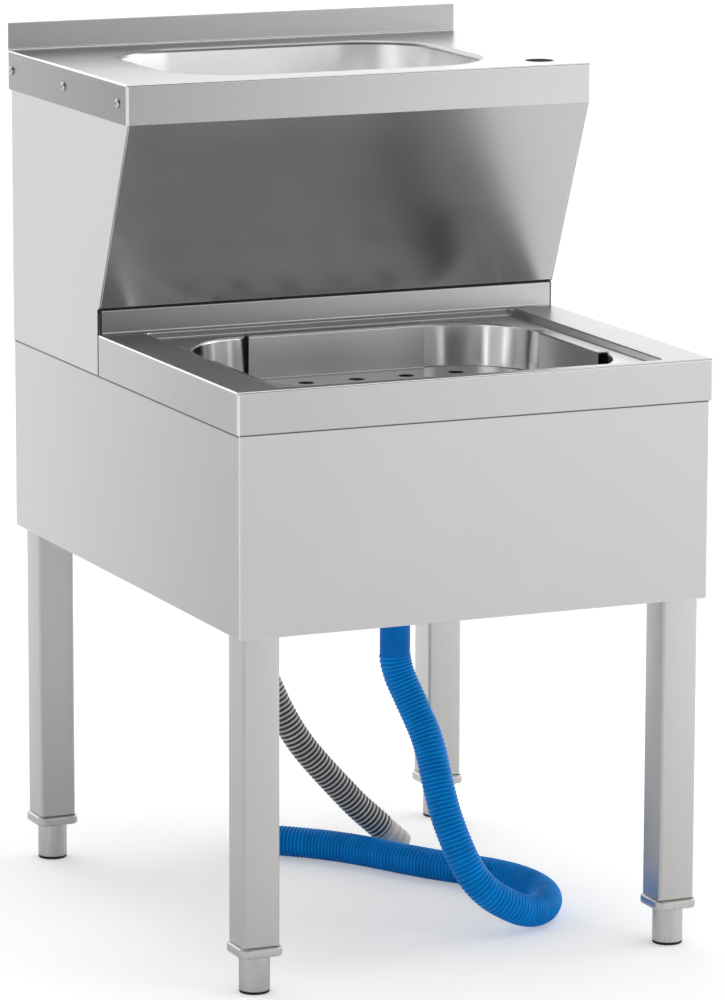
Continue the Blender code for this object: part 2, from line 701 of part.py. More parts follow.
def make_strainer_tray(material):
    """Perforated plate with four bent-up flaps; all but the left one hook over the bowl's edge."""
    edge = mop_opening()
    wall_x = edge.half_x - TRAY_CLEARANCE
    wall_y = edge.half_y - TRAY_CLEARANCE
    hook_low = LEDGE_LEVEL + GAP
    base_top = LEDGE_LEVEL - TRAY_DROP
    base_middle = base_top - SHEET / 2
    plate = Station(wall_x - SHEET / 2, wall_y - SHEET / 2, TRAY_CORNER, 0.0, base_top)
    mesh_data = bmesh.new()
    upper = [mesh_data.verts.new(p) for p in loop_points(plate, CORNER_STEPS)]
    lower = [mesh_data.verts.new(p) for p in loop_points(grown(plate, 0.0, SHEET), CORNER_STEPS)]
    mesh_data.faces.new(upper)
    mesh_data.faces.new(reversed(lower))
    for k, _ in enumerate(upper):
        n = (k + 1) % len(upper)
        mesh_data.faces.new((upper[k], upper[n], lower[n], lower[k]))
    place = (0, edge.centre_y, 0)
    item = add_object("strainer_tray", mesh_data, material, place)

    foot = base_middle - hook_low
    hooked = folded_outline([(TRAY_HOOK, 0), (0, 0), (0, foot)], -SHEET)
    plain = folded_outline([(0, -TRAY_PLAIN_FLAP_DROP), (0, foot)], -SHEET)
    long_span = (TRAY_LONG_FLAP, TRAY_LONG_FLAP_SHIFT, wall_y)
    side_span = (TRAY_SIDE_FLAP, TRAY_SIDE_FLAP_SHIFT, wall_x)
    flaps = {
        "back": (hooked, *long_span, 0, 1),
        "left": (plain, *side_span, 1, 1),
        "front": (hooked, *long_span, 2, -1),
        "right": (hooked, *side_span, 3, -1),
    }
    for flap_name, (profile, width, shift, reach, quarters, sense) in flaps.items():
        low = sense * shift - width / 2
        flap = extruded(f"tool_tray_flap_{flap_name}", profile, low, low + width, "X", None)
        turn = Matrix.Rotation(quarters * math.pi / 2, 4, "Z")
        flap.matrix_world = Matrix.Translation(place) @ turn @ Matrix.Translation((0, reach, hook_low))
        combine(item, flap, "UNION")

    outermost = min(wall_x, wall_y) - TRAY_HOLE_FROM_FLAP
    pitch = 2 * outermost / (TRAY_HOLE_COUNT - 1)
    steps = [k * pitch - outermost for k in range(TRAY_HOLE_COUNT)]
    holes = cylinder_tool(
        "tool_tray_holes", [(x, edge.centre_y + y) for x in steps for y in steps], TRAY_HOLE_RADIUS,
        base_top - SHEET - OVERRUN, base_top + OVERRUN, TRAY_HOLE_SIDES,
    )
    combine(item, holes, "DIFFERENCE")
    return item


def make_skirts(material):
    """Four flat panels with a flange turned in along the foot, notched clear of the legs."""
    flange_x = LEG_X - LEG_SIZE / 2 - SKIRT_NOTCH
    flange_front = LEG_FRONT_Y + LEG_SIZE / 2 + SKIRT_NOTCH
    flange_back = LEG_BACK_Y - LEG_SIZE / 2 - SKIRT_NOTCH
    low = SKIRT_LEVEL
    flange_low = low + GAP
    flange_high = flange_low + SHEET

    front = box_object(
        "skirt_front", (-SKIRT_X, SKIRT_FRONT_Y, low), (SKIRT_X, SKIRT_FRONT_Y + SHEET, SKIRT_TOP), material,
    )
    front_flange = box_object(
        "tool_skirt_front", (-flange_x, SKIRT_FRONT_Y + SHEET / 2, flange_low),
        (flange_x, SKIRT_FRONT_Y + SKIRT_FLANGE, flange_high),
    )
    combine(front, front_flange, "UNION")

    back_half = SKIRT_X - SHEET - GAP
    back = box_object(
        "skirt_back", (-back_half, SKIRT_BACK_Y - SHEET, low), (back_half, SKIRT_BACK_Y, SKIRT_TOP), material,
    )
    back_flange = box_object(
        "tool_skirt_back", (-flange_x, SKIRT_BACK_Y - SKIRT_FLANGE, flange_low),
        (flange_x, SKIRT_BACK_Y - SHEET / 2, flange_high),
    )
    combine(back, back_flange, "UNION")

    for side, side_name in ((-1, "left"), (1, "right")):
        xs = sorted((side * SKIRT_X, side * (SKIRT_X - SHEET)))
        panel = box_object(
            f"skirt_{side_name}", (xs[0], SKIRT_FRONT_Y + SHEET + GAP, low),
            (xs[1], BACK_Y - SKIRT_SIDE_FROM_BACK, SKIRT_TOP), material,
        )
        flange = sorted((side * (SKIRT_X - SHEET / 2), side * (SKIRT_X - SKIRT_FLANGE)))
        side_flange = box_object(
            f"tool_skirt_{side_name}", (flange[0], flange_front, flange_low),
            (flange[1], flange_back, flange_high),
        )
        combine(panel, side_flange, "UNION")


def leg_place(corner):
    side_x, side_y = CORNERS[corner]
    return (side_x * LEG_X, LEG_FRONT_Y if side_y < 0 else LEG_BACK_Y, 0)


def make_leg(corner, material):
    """Square tube with rounded corners."""
    half = LEG_SIZE / 2
    outer = Station(half, half, LEG_ROUND, 0.0, LEG_TOP)
    inner = grown(outer, -LEG_WALL)
    drop = LEG_TOP - COLLAR_LEVEL - COLLAR_THICK - GAP
    stations = [outer, grown(outer, 0.0, drop), grown(inner, 0.0, drop), inner]
    item = lofted_ring(f"leg_{corner}", stations, material, LEG_STEPS)
    item.location = leg_place(corner)


def make_bracket(corner, material):
    """Angle that fills the space between two skirt panels and the leg, and joins them."""
    side_x, side_y = CORNERS[corner]
    face_y = SKIRT_FRONT_Y if side_y < 0 else SKIRT_BACK_Y
    outer_x = side_x * (SKIRT_X - SHEET - GAP)
    outer_y = face_y - side_y * (SHEET + GAP)
    thick = LEG_INSET - SHEET - 2 * GAP
    outline = [
        (outer_x, outer_y),
        (outer_x - side_x * BRACKET_ARM_LENGTH, outer_y),
        (outer_x - side_x * BRACKET_ARM_LENGTH, outer_y - side_y * thick),
        (outer_x - side_x * thick, outer_y - side_y * thick),
        (outer_x - side_x * thick, outer_y - side_y * BRACKET_ARM_LENGTH),
        (outer_x, outer_y - side_y * BRACKET_ARM_LENGTH),
    ]
    extruded(
        f"leg_bracket_{corner}", outline, BRACKET_LEVEL, BRACKET_LEVEL + BRACKET_HEIGHT, "Z", material,
    )


def make_collar(corner, material):
    """Square collar with a plug that fits the tube and a bore for the foot's stem."""
    half = LEG_SIZE / 2 + COLLAR_OVERHANG
    top = COLLAR_LEVEL + COLLAR_THICK
    flange = Station(half, half, LEG_ROUND + COLLAR_OVERHANG, 0.0, top)
    edge = grown(flange, -EDGE_ROUND)
    inside = LEG_SIZE / 2 - LEG_WALL - GAP
    plug = Station(inside, inside, LEG_ROUND - LEG_WALL, 0.0, top)
    bore_radius = STEM_RADIUS + STEM_CLEARANCE
    bore = Station(bore_radius, bore_radius, bore_radius, 0.0, COLLAR_LEVEL)
    stations = [
        bore,
        grown(edge, 0.0, COLLAR_THICK),
        grown(flange, 0.0, COLLAR_THICK - EDGE_ROUND),
        grown(flange, 0.0, EDGE_ROUND),
        edge,
        plug,
        grown(plug, 0.0, -PLUG_HEIGHT),
        grown(bore, 0.0, -COLLAR_THICK - PLUG_HEIGHT),
    ]
    item = lofted_ring(f"leg_collar_{corner}", stations, material, LEG_STEPS)
    item.location = leg_place(corner)


def make_foot(corner, metal, rubber):
    """Levelling foot with its stem, and the dark sole under it, both on the stem's axis."""
    axis = bpy.data.objects.new(f"foot_axis_{corner}", None)
    axis.location = leg_place(corner)
    bpy.context.scene.collection.objects.link(axis)
    low = SOLE_THICK + GAP
    top = COLLAR_LEVEL - FOOT_HEADROOM
    foot = turned(
        f"foot_{corner}",
        [
            (0, low),
            (FOOT_RADIUS, low),
            (FOOT_RADIUS, top - FOOT_EDGE),
            (FOOT_RADIUS - FOOT_EDGE, top),
            (STEM_RADIUS, top),
            (STEM_RADIUS, top + STEM_LENGTH - FOOT_EDGE),
            (STEM_RADIUS - FOOT_EDGE, top + STEM_LENGTH),
            (0, top + STEM_LENGTH),
        ],
        FOOT_SIDES,
        metal,
    )
    foot.parent = axis
    sole_radius = FOOT_RADIUS - SOLE_SETBACK
    sole = turned(
        f"foot_sole_{corner}",
        [(0, 0), (sole_radius - SOLE_SETBACK, 0), (sole_radius, SOLE_SETBACK), (sole_radius, SOLE_THICK),
         (0, SOLE_THICK)],
        FOOT_SIDES,
        rubber,
    )
    sole.parent = axis


def make_waste(prefix, centre_y, floor_level, metal, rubber, plastic):
    """Strainer, washer, body and lock nut of one basin's waste; returns the level of the tail's end."""
    place = (0, centre_y, 0)
    plate_low = floor_level + GAP
    spigot = DRAIN_RADIUS - GAP
    spigot_low = floor_level - STRAINER_SPIGOT_DROP
    strainer = turned(
        f"{prefix}_waste_strainer",
        [
            (0, plate_low + SHEET + STRAINER_SCREW_HEIGHT),
            (STRAINER_SCREW_RADIUS, plate_low + SHEET + STRAINER_SCREW_HEIGHT),
            (STRAINER_SCREW_RADIUS, plate_low + SHEET),
            (STRAINER_RADIUS - SHEET, plate_low + SHEET),
            (STRAINER_RADIUS, plate_low),
            (spigot, plate_low),
            (spigot, spigot_low),
            (spigot - STRAINER_SPIGOT_WALL, spigot_low),
            (spigot - STRAINER_SPIGOT_WALL, plate_low),
            (0, plate_low),
        ],
        WASTE_SIDES,
        metal,
        place,
    )
    turn = 2 * math.pi / STRAINER_HOLE_COUNT
    ring = [
        (STRAINER_HOLE_CIRCLE * math.cos(k * turn), centre_y + STRAINER_HOLE_CIRCLE * math.sin(k * turn))
        for k in range(STRAINER_HOLE_COUNT)
    ]
    holes = cylinder_tool(
        f"tool_{prefix}_strainer_holes", ring, STRAINER_HOLE_RADIUS, plate_low - OVERRUN,
        plate_low + SHEET + OVERRUN, HOLE_SIDES,
    )
    combine(strainer, holes, "DIFFERENCE")

    washer_top = floor_level - SHEET - GAP
    washer_low = washer_top - WASHER_THICK
    washer_bore = DRAIN_RADIUS + GAP
    turned(
        f"{prefix}_waste_washer",
        [(washer_bore, washer_top), (washer_bore, washer_low), (WASHER_RADIUS, washer_low),
         (WASHER_RADIUS, washer_top)],
        WASTE_SIDES,
        rubber,
        place,
    )

    flange_top = washer_low - GAP
    flange_low = flange_top - BODY_FLANGE_THICK
    cup_low = flange_top - BODY_CUP_DROP
    cone_low = cup_low - BODY_CONE_DROP
    tail_low = cone_low - BODY_TAIL_DROP
    turned(
        f"{prefix}_waste_body",
        [
            (BODY_FLANGE_RADIUS, flange_top),
            (BODY_CUP_RADIUS - BODY_WALL, flange_top),
            (BODY_CUP_RADIUS - BODY_WALL, cup_low),
            (BODY_TAIL_RADIUS - BODY_WALL, cone_low),
            (BODY_TAIL_RADIUS - BODY_WALL, tail_low),
            (BODY_TAIL_RADIUS, tail_low),
            (BODY_TAIL_RADIUS, cone_low),
            (BODY_CUP_RADIUS, cup_low),
            (BODY_CUP_RADIUS, flange_low),
            (BODY_FLANGE_RADIUS, flange_low),
        ],
        WASTE_SIDES,
        plastic,
        place,
    )

    nut_top = flange_low - GAP
    nut_bore = BODY_CUP_RADIUS + GAP
    turned(
        f"{prefix}_waste_nut",
        [(nut_bore, nut_top), (nut_bore, nut_top - NUT_HEIGHT), (NUT_RADIUS, nut_top - NUT_HEIGHT),
         (NUT_RADIUS, nut_top)],
        WASTE_SIDES,
        plastic,
        place,
    )
    return tail_low


def make_top_cuff(name, centre_y, tail_low, hose_radius, material):
    """Smooth cuff of a hose, pushed over the waste's tail."""
    low = tail_low - CUFF_BELOW_TAIL
    high = low + CUFF_LENGTH
    bore = BODY_TAIL_RADIUS + GAP
    radius = max(hose_radius, BODY_TAIL_RADIUS + CUFF_END_WALL) + CUFF_OVERSIZE
    turned(
        name,
        [(bore, high), (bore, low), (radius, low), (radius, high - EDGE_ROUND), (radius - EDGE_ROUND, high)],
        CUFF_SIDES,
        material,
        (0, centre_y, 0),
    )


def make_end_cuff(name, route, hose_radius, length, material):
    """Smooth cuff that continues a hose past the end of its route."""
    end = Vector(route[-1])
    direction = (end - Vector(route[-2])).normalized()
    radius = hose_radius * PLAIN_END_SHARE
    bore = radius - CUFF_END_WALL
    high = GAP + length
    cuff = turned(
        name,
        [(bore, high), (bore, GAP), (radius, GAP), (radius, high - EDGE_ROUND), (radius - EDGE_ROUND, high)],
        CUFF_SIDES,
        material,
        end,
    )
    cuff.rotation_euler = direction.to_track_quat("Z", "X").to_euler()


def smooth_route(route):
    """Close points on one smooth curve through the route, with its first and last stretch straight."""
    points = [Vector(p) for p in route]
    dense = [points[0]]
    last = len(points) - 1
    for index in range(last):
        start = points[index]
        end = points[index + 1]
        if index in (0, last - 1):
            dense += [start.lerp(end, (k + 1) / ROUTE_STEPS) for k in range(ROUTE_STEPS)]
            continue
        run = (end - start).length
        leave = (end - points[index - 1]).normalized() * run
        arrive = (points[index + 2] - start).normalized() * run
        if index == 1:
            leave = (start - points[0]).normalized() * run
        if index == last - 2:
            arrive = (points[last] - end).normalized() * run
        for k in range(ROUTE_STEPS):
            t = (k + 1) / ROUTE_STEPS
            dense.append(
                start * (2 * t**3 - 3 * t**2 + 1)
                + leave * (t**3 - 2 * t**2 + t)
                + end * (3 * t**2 - 2 * t**3)
                + arrive * (t**3 - t**2)
            )
    return dense


def route_length(dense):
    return sum((b - a).length for a, b in zip(dense, dense[1:]))


def spaced(dense, count):
    """Points at equal steps along a dense line, both ends included."""
    step = route_length(dense) / count
    points = [dense[0].copy()]
    travelled = 0.0
    wanted = step
    for start, end in zip(dense, dense[1:]):
        piece = (end - start).length
        while travelled + piece >= wanted - MERGE_DISTANCE and len(points) <= count:
            points.append(start.lerp(end, min((wanted - travelled) / piece, 1.0)))
            wanted += step
        travelled += piece
    return points[: count + 1]


def tube_mesh(name, points, radius, shares):
    """Mesh of a curve with a round bevel and filled caps, its thickness given point by point."""
    curve = bpy.data.curves.new(name, "CURVE")
    curve.dimensions = "3D"
    curve.bevel_depth = radius
    curve.bevel_resolution = 2
    curve.use_fill_caps = True
    spline = curve.splines.new("POLY")
    spline.points.add(len(points) - 1)
    for knot, point, share in zip(spline.points, points, shares):
        knot.co = (*point, 1.0)
        knot.radius = share
    guide = bpy.data.objects.new(f"{name}_line", curve)
    bpy.context.scene.collection.objects.link(guide)
    bpy.context.view_layer.update()
    evaluated = guide.evaluated_get(bpy.context.evaluated_depsgraph_get())
    mesh_data = bmesh.new()
    mesh_data.from_mesh(evaluated.to_mesh())
    evaluated.to_mesh_clear()
    bpy.data.objects.remove(guide, do_unlink=True)
    bmesh.ops.remove_doubles(mesh_data, verts=mesh_data.verts, dist=MERGE_DISTANCE)
    return mesh_data


def make_hose(name, route, radius, ribs, material):
    """Hose with a plain first stretch, then ribs of a crest and a root; a tube is cut out as its bore."""
    dense = smooth_route(route)
    count = 2 * ribs
    points = spaced(dense, count)
    plain_share = (Vector(route[1]) - Vector(route[0])).length / route_length(dense)
    shares = [1.0 if k % 2 else RIB_ROOT_SHARE for k in range(len(points))]
    for k, _ in enumerate(shares):
        if k <= plain_share * count:
            shares[k] = PLAIN_END_SHARE
    item = add_object(name, tube_mesh(name, points, radius, shares), material)

    count = round(route_length(dense) / BORE_POINT_PITCH)
    bore_points = spaced(dense, count)
    start_run = (bore_points[0] - bore_points[1]).normalized()
    end_run = (bore_points[-1] - bore_points[-2]).normalized()
    bore_points[0] = bore_points[0] + start_run * OVERRUN
    bore_points[-1] = bore_points[-1] + end_run * OVERRUN
    tool_name = f"tool_{name}_bore"
    bore = tube_mesh(tool_name, bore_points, HOSE_BORE, [1.0] * len(bore_points))
    combine(item, add_object(tool_name, bore, None), "DIFFERENCE")
    print(f"{name}: {route_length(dense):.4f} m along its centre line")


def build():
    clear_scene()
    satin = make_material("satin steel", (0.55, 0.55, 0.55), 0.34, 1.0)
    polished = make_material("polished steel", (0.62, 0.62, 0.62), 0.16, 1.0)
    tube_steel = make_material("tube steel", (0.50, 0.50, 0.49), 0.38, 1.0)
    foot_steel = make_material("foot steel", (0.40, 0.38, 0.36), 0.35, 1.0)
    screw_steel = make_material("screw steel", (0.60, 0.60, 0.60), 0.25, 1.0)
    rubber = make_material("black rubber", (0.03, 0.03, 0.03), 0.8, 0.0)
    white_plastic = make_material("white plastic", (0.75, 0.75, 0.73), 0.45, 0.0)
    blue_plastic = make_material("blue hose plastic", (0.0, 0.12, 0.47), 0.35, 0.0)
    grey_plastic = make_material("grey hose plastic", (0.12, 0.115, 0.11), 0.38, 0.0)
    pale_plastic = make_material("pale cuff plastic", (0.42, 0.40, 0.38), 0.5, 0.0)

    upper_top = make_upper_top(satin)
    make_hand_basin(polished)
    left = make_side_panel("upper_side_left", -1, satin)
    right = make_side_panel("upper_side_right", 1, satin)
    screw_holes = screw_hole_tool()
    for item in (upper_top, left, right):
        combine(item, screw_holes, "DIFFERENCE")
    make_front_panel(satin)
    make_back_rail(satin)
    make_apron_screws(screw_steel)

    make_lower_top(satin)
    make_mop_bowl(polished)
    make_strainer_tray(satin)
    make_skirts(satin)
    for corner in CORNERS:
        make_leg(corner, tube_steel)
        make_bracket(corner, satin)
        make_collar(corner, foot_steel)
        make_foot(corner, foot_steel, rubber)

    mop_drain_y = mop_opening().centre_y + MOP_DRAIN_BACK_OFFSET
    mop_tail = make_waste("mop", mop_drain_y, MOP_FLOOR_LEVEL, polished, rubber, white_plastic)
    hand_tail = make_waste("hand", HAND_CENTRE_Y, HAND_FLOOR_LEVEL, polished, rubber, white_plastic)
    make_top_cuff("blue_hose_top_cuff", mop_drain_y, mop_tail, BLUE_RADIUS, blue_plastic)
    make_hose("blue_hose", BLUE_ROUTE, BLUE_RADIUS, BLUE_RIBS, blue_plastic)
    make_end_cuff("blue_hose_end_cuff", BLUE_ROUTE, BLUE_RADIUS, BLUE_END_CUFF, blue_plastic)
    make_top_cuff("grey_hose_top_cuff", HAND_CENTRE_Y, hand_tail, GREY_RADIUS, grey_plastic)
    make_hose("grey_hose", GREY_ROUTE, GREY_RADIUS, GREY_RIBS, grey_plastic)
    make_end_cuff("grey_hose_end_cuff", GREY_ROUTE, GREY_RADIUS, GREY_END_CUFF, pale_plastic)
    print(f"cuff feet: mop {mop_tail - CUFF_BELOW_TAIL:.4f}, hand {hand_tail - CUFF_BELOW_TAIL:.4f}")


build()
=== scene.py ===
"""The looks of a stainless steel mop sink with a raised hand basin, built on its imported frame."""

import math

import bmesh
import bpy
from mathutils import Matrix, Vector


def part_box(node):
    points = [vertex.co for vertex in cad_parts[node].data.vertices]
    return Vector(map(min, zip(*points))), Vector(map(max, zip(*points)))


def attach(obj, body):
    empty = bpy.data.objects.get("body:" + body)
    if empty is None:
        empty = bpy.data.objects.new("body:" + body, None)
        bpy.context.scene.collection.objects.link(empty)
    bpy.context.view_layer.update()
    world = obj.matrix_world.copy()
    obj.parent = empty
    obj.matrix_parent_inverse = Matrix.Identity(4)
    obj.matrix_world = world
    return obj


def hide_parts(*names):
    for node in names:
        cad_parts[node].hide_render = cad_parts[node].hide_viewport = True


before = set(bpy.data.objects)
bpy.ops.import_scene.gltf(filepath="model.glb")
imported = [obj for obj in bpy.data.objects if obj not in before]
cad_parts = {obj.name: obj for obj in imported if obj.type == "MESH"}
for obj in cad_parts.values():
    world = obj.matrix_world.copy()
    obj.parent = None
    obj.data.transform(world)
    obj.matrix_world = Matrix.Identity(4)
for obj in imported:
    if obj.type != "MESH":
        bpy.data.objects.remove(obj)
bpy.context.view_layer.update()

# The camera stands to the front left of the sink, a little above the upper top, with a long lens.
# Its place and turn were fitted to the straight edges in the photograph.
CAMERA_PLACE = Vector((-2.156289, -4.918193, 1.463561))
CAMERA_YAW = 0.415364657
CAMERA_PITCH = 0.193405519
CAMERA_ROLL = 0.00277578555
CAMERA_LENS = 196.236
SENSOR_WIDTH = 36.0

forward = Vector((
    math.sin(CAMERA_YAW) * math.cos(CAMERA_PITCH),
    math.cos(CAMERA_YAW) * math.cos(CAMERA_PITCH),
    -math.sin(CAMERA_PITCH),
))
level_right = Vector((math.cos(CAMERA_YAW), -math.sin(CAMERA_YAW), 0))
level_up = level_right.cross(forward)
right = level_right * math.cos(CAMERA_ROLL) + level_up * math.sin(CAMERA_ROLL)
up = level_up * math.cos(CAMERA_ROLL) - level_right * math.sin(CAMERA_ROLL)
camera_data = bpy.data.cameras.new("camera")
camera_data.lens = CAMERA_LENS
camera_data.sensor_width = SENSOR_WIDTH
camera = bpy.data.objects.new("camera", camera_data)
camera.matrix_world = Matrix.Translation(CAMERA_PLACE) @ Matrix((right, up, -forward)).transposed().to_4x4()
bpy.context.scene.collection.objects.link(camera)
bpy.context.scene.camera = camera

# The blue waste hose hangs from the mop bowl's waste and lies in a loose arc on the floor.
# It is a soft plastic tube with close moulded ribs, plain where the cuff grips it.
# Its line is a smooth curve through listed points, and a node tree gives it its ribs.
BLUE_ROUTE = [
    (0.0000, -0.1095, 0.3097), (0.0000, -0.1095, 0.2777), (0.0031, -0.1121, 0.2573),
    (0.0095, -0.1189, 0.2377), (0.0156, -0.1278, 0.2185), (0.0207, -0.1376, 0.1994),
    (0.0232, -0.1474, 0.1798), (0.0242, -0.1568, 0.1599), (0.0256, -0.1660, 0.1398),
    (0.0283, -0.1749, 0.1198), (0.0331, -0.1832, 0.1000), (0.0398, -0.1899, 0.0802),
    (0.0494, -0.1947, 0.0615), (0.0637, -0.1971, 0.0461), (0.0815, -0.1966, 0.0341),
    (0.1000, -0.1921, 0.0245), (0.1183, -0.1831, 0.0187), (0.1347, -0.1697, 0.0167),
    (0.1477, -0.1525, 0.0165), (0.1572, -0.1331, 0.0165), (0.1625, -0.1121, 0.0165),
    (0.1634, -0.0904, 0.0165), (0.1608, -0.0688, 0.0165), (0.1545, -0.0479, 0.0165),
    (0.1448, -0.0284, 0.0165), (0.1327, -0.0100, 0.0165), (0.1198, 0.0079, 0.0165),
    (0.1070, 0.0259, 0.0165), (0.0951, 0.0445, 0.0165), (0.0841, 0.0636, 0.0165),
    (0.0737, 0.0830, 0.0165), (0.0630, 0.1024, 0.0165), (0.0513, 0.1210, 0.0165),
    (0.0380, 0.1386, 0.0165), (0.0225, 0.1555, 0.0165), (-0.0010, 0.1775, 0.0165),
]
BLUE_RADIUS = 0.016
BLUE_RIB_PITCH = 0.0041
BLUE_RIB_HEIGHT = 0.0009
BLUE_PLAIN_LENGTH = 0.034
BLUE_CREST_SHARE = 0.9
BLUE_COLOUR = (0.0, 0.205, 0.72)
# The crest colour is a painted highlight along the top of each rib.
BLUE_CREST_HIGHLIGHT = (0.0, 0.37, 0.96)
HOSE_WALL = 0.0012
HOSE_SIDES = 32
STEPS_PER_RIB = 6
ROUTE_STEPS = 12


def smooth_line(route):
    """Close points on one smooth curve through the route, with its first and last stretch straight."""
    points = [Vector(p) for p in route]
    line = [points[0]]
    last = len(points) - 1
    for index in range(last):
        start = points[index]
        end = points[index + 1]
        if index in (0, last - 1):
            line += [start.lerp(end, (k + 1) / ROUTE_STEPS) for k in range(ROUTE_STEPS)]
            continue
        run = (end - start).length
        leave = (end - points[index - 1]).normalized() * run
        arrive = (points[index + 2] - start).normalized() * run
        if index == 1:
            leave = (start - points[0]).normalized() * run
        if index == last - 2:
            arrive = (points[last] - end).normalized() * run
        for k in range(ROUTE_STEPS):
            t = (k + 1) / ROUTE_STEPS
            line.append(
                start * (2 * t**3 - 3 * t**2 + 1)
                + leave * (t**3 - 2 * t**2 + t)
                + end * (3 * t**2 - 2 * t**3)
                + arrive * (t**3 - t**2)
            )
    return line


def add_node(tree, kind, inputs=None, **settings):
    """Add a node, set its properties, and link or set its inputs by name or by place."""
    item = tree.nodes.new(kind)
    for key, value in settings.items():
        setattr(item, key, value)
    for key, value in (inputs or {}).items():
        if isinstance(value, bpy.types.NodeSocket):
            tree.links.new(value, item.inputs[key])
        else:
            item.inputs[key].default_value = value
    return item


def output_of(tree, kind, inputs=None, output=0, **settings):
    """The first or the named output of a new node."""
    return add_node(tree, kind, inputs, **settings).outputs[output]


def calculate(tree, operation, *values):
    """The result of a math node on up to three numbers or sockets."""
    return output_of(tree, "ShaderNodeMath", dict(enumerate(values)), operation=operation)


def spread(tree, value, low, high, to_low, to_high):
    """A value moved from one range to another and held inside it."""
    inputs = {"Value": value, "From Min": low, "From Max": high, "To Min": to_low, "To Max": to_high}
    return output_of(tree, "ShaderNodeMapRange", inputs)


def vary(tree, pattern, low, high):
    """A noise pattern's usual range, 0.3 to 0.7, moved to another and held inside it."""
    return spread(tree, pattern, 0.3, 0.7, low, high)


def axes(tree, vector):
    """A vector's three numbers, under the names X, Y and Z."""
    return add_node(tree, "ShaderNodeSeparateXYZ", {"Vector": vector}).outputs


def blend_numbers(tree, share, first, second):
    """A mix of two numbers."""
    rise = calculate(tree, "SUBTRACT", second, first)
    return calculate(tree, "ADD", first, calculate(tree, "MULTIPLY", share, rise))


def blend_colours(tree, share, first, second):
    """A mix of two colours."""
    item = add_node(tree, "ShaderNodeMix", data_type="RGBA")
    for socket, value in (("Factor_Float", share), ("A_Color", first), ("B_Color", second)):
        target = next(s for s in item.inputs if s.identifier == socket)
        if isinstance(value, bpy.types.NodeSocket):
            tree.links.new(value, target)
        elif isinstance(value, tuple):
            target.default_value = (*value, 1.0)
        else:
            target.default_value = value
    return next(s for s in item.outputs if s.identifier == "Result_Color")


def start_material(name, metallic=0.0):
    """A new material with its tree, its shader and the object's own coordinates."""
    material = bpy.data.materials.new(name)
    material.use_nodes = True
    tree = material.node_tree
    shader = tree.nodes["Principled BSDF"]
    shader.inputs["Metallic"].default_value = metallic
    place = add_node(tree, "ShaderNodeTexCoord").outputs["Object"]
    return material, tree, shader, place


def noise(tree, place, scale, detail=2.0, stretch=None):
    """A noise pattern's value, stretched along an axis where a grain runs."""
    if stretch:
        place = output_of(tree, "ShaderNodeMapping", {"Vector": place, "Scale": stretch})
    return output_of(tree, "ShaderNodeTexNoise", {"Vector": place, "Scale": scale, "Detail": detail})


def roughen(tree, shader, height, strength, distance):
    """A bump on a shader's normal from a height pattern."""
    inputs = {"Height": height, "Strength": strength, "Distance": distance}
    tree.links.new(output_of(tree, "ShaderNodeBump", inputs), shader.inputs["Normal"])


def hose_plastic(name, colour, crest_highlight, roughness, gloss=0.5):
    """Soft plastic with a painted highlight on its rib crests, faint clouding and a slightly uneven skin."""
    material, tree, shader, place = start_material(name)
    crest = output_of(tree, "ShaderNodeAttribute", output="Fac", attribute_name="crest")
    clouds = noise(tree, place, 45.0, 3.0)
    # Painted highlight: the rib crests are painted lighter than the rest of the tube.
    ribbed = blend_colours(tree, spread(tree, crest, 0.45, 1.0, 0.0, 1.0), colour, crest_highlight)
    inputs = {0: ribbed, "Scale": vary(tree, clouds, 0.86, 1.08)}
    tinted = output_of(tree, "ShaderNodeVectorMath", inputs, operation="SCALE")
    tree.links.new(tinted, shader.inputs["Base Color"])
    tree.links.new(vary(tree, clouds, roughness + 0.05, roughness - 0.05), shader.inputs["Roughness"])
    shader.inputs["Specular IOR Level"].default_value = gloss
    roughen(tree, shader, noise(tree, place, 900.0), 0.15, 0.0003)
    return material


def start_node_tree(name, result, **sockets):
    """A geometry node tree with its sockets, listed by type, and the outputs of its group input."""
    tree = bpy.data.node_groups.new(name, "GeometryNodeTree")
    for kind, labels in {**sockets, "Material": ["Material"]}.items():
        for label in labels:
            tree.interface.new_socket(label, in_out="INPUT", socket_type=f"NodeSocket{kind}")
    tree.interface.new_socket(result, in_out="OUTPUT", socket_type="NodeSocketGeometry")
    return tree, add_node(tree, "NodeGroupInput").outputs


def finish_node_tree(tree, shape, material):
    """Make a tree's shape real, give it its material and send it out."""
    real = output_of(tree, "GeometryNodeRealizeInstances", {"Geometry": shape})
    painted = output_of(tree, "GeometryNodeSetMaterial", {"Geometry": real, "Material": material})
    add_node(tree, "NodeGroupOutput", {0: painted})
    return tree


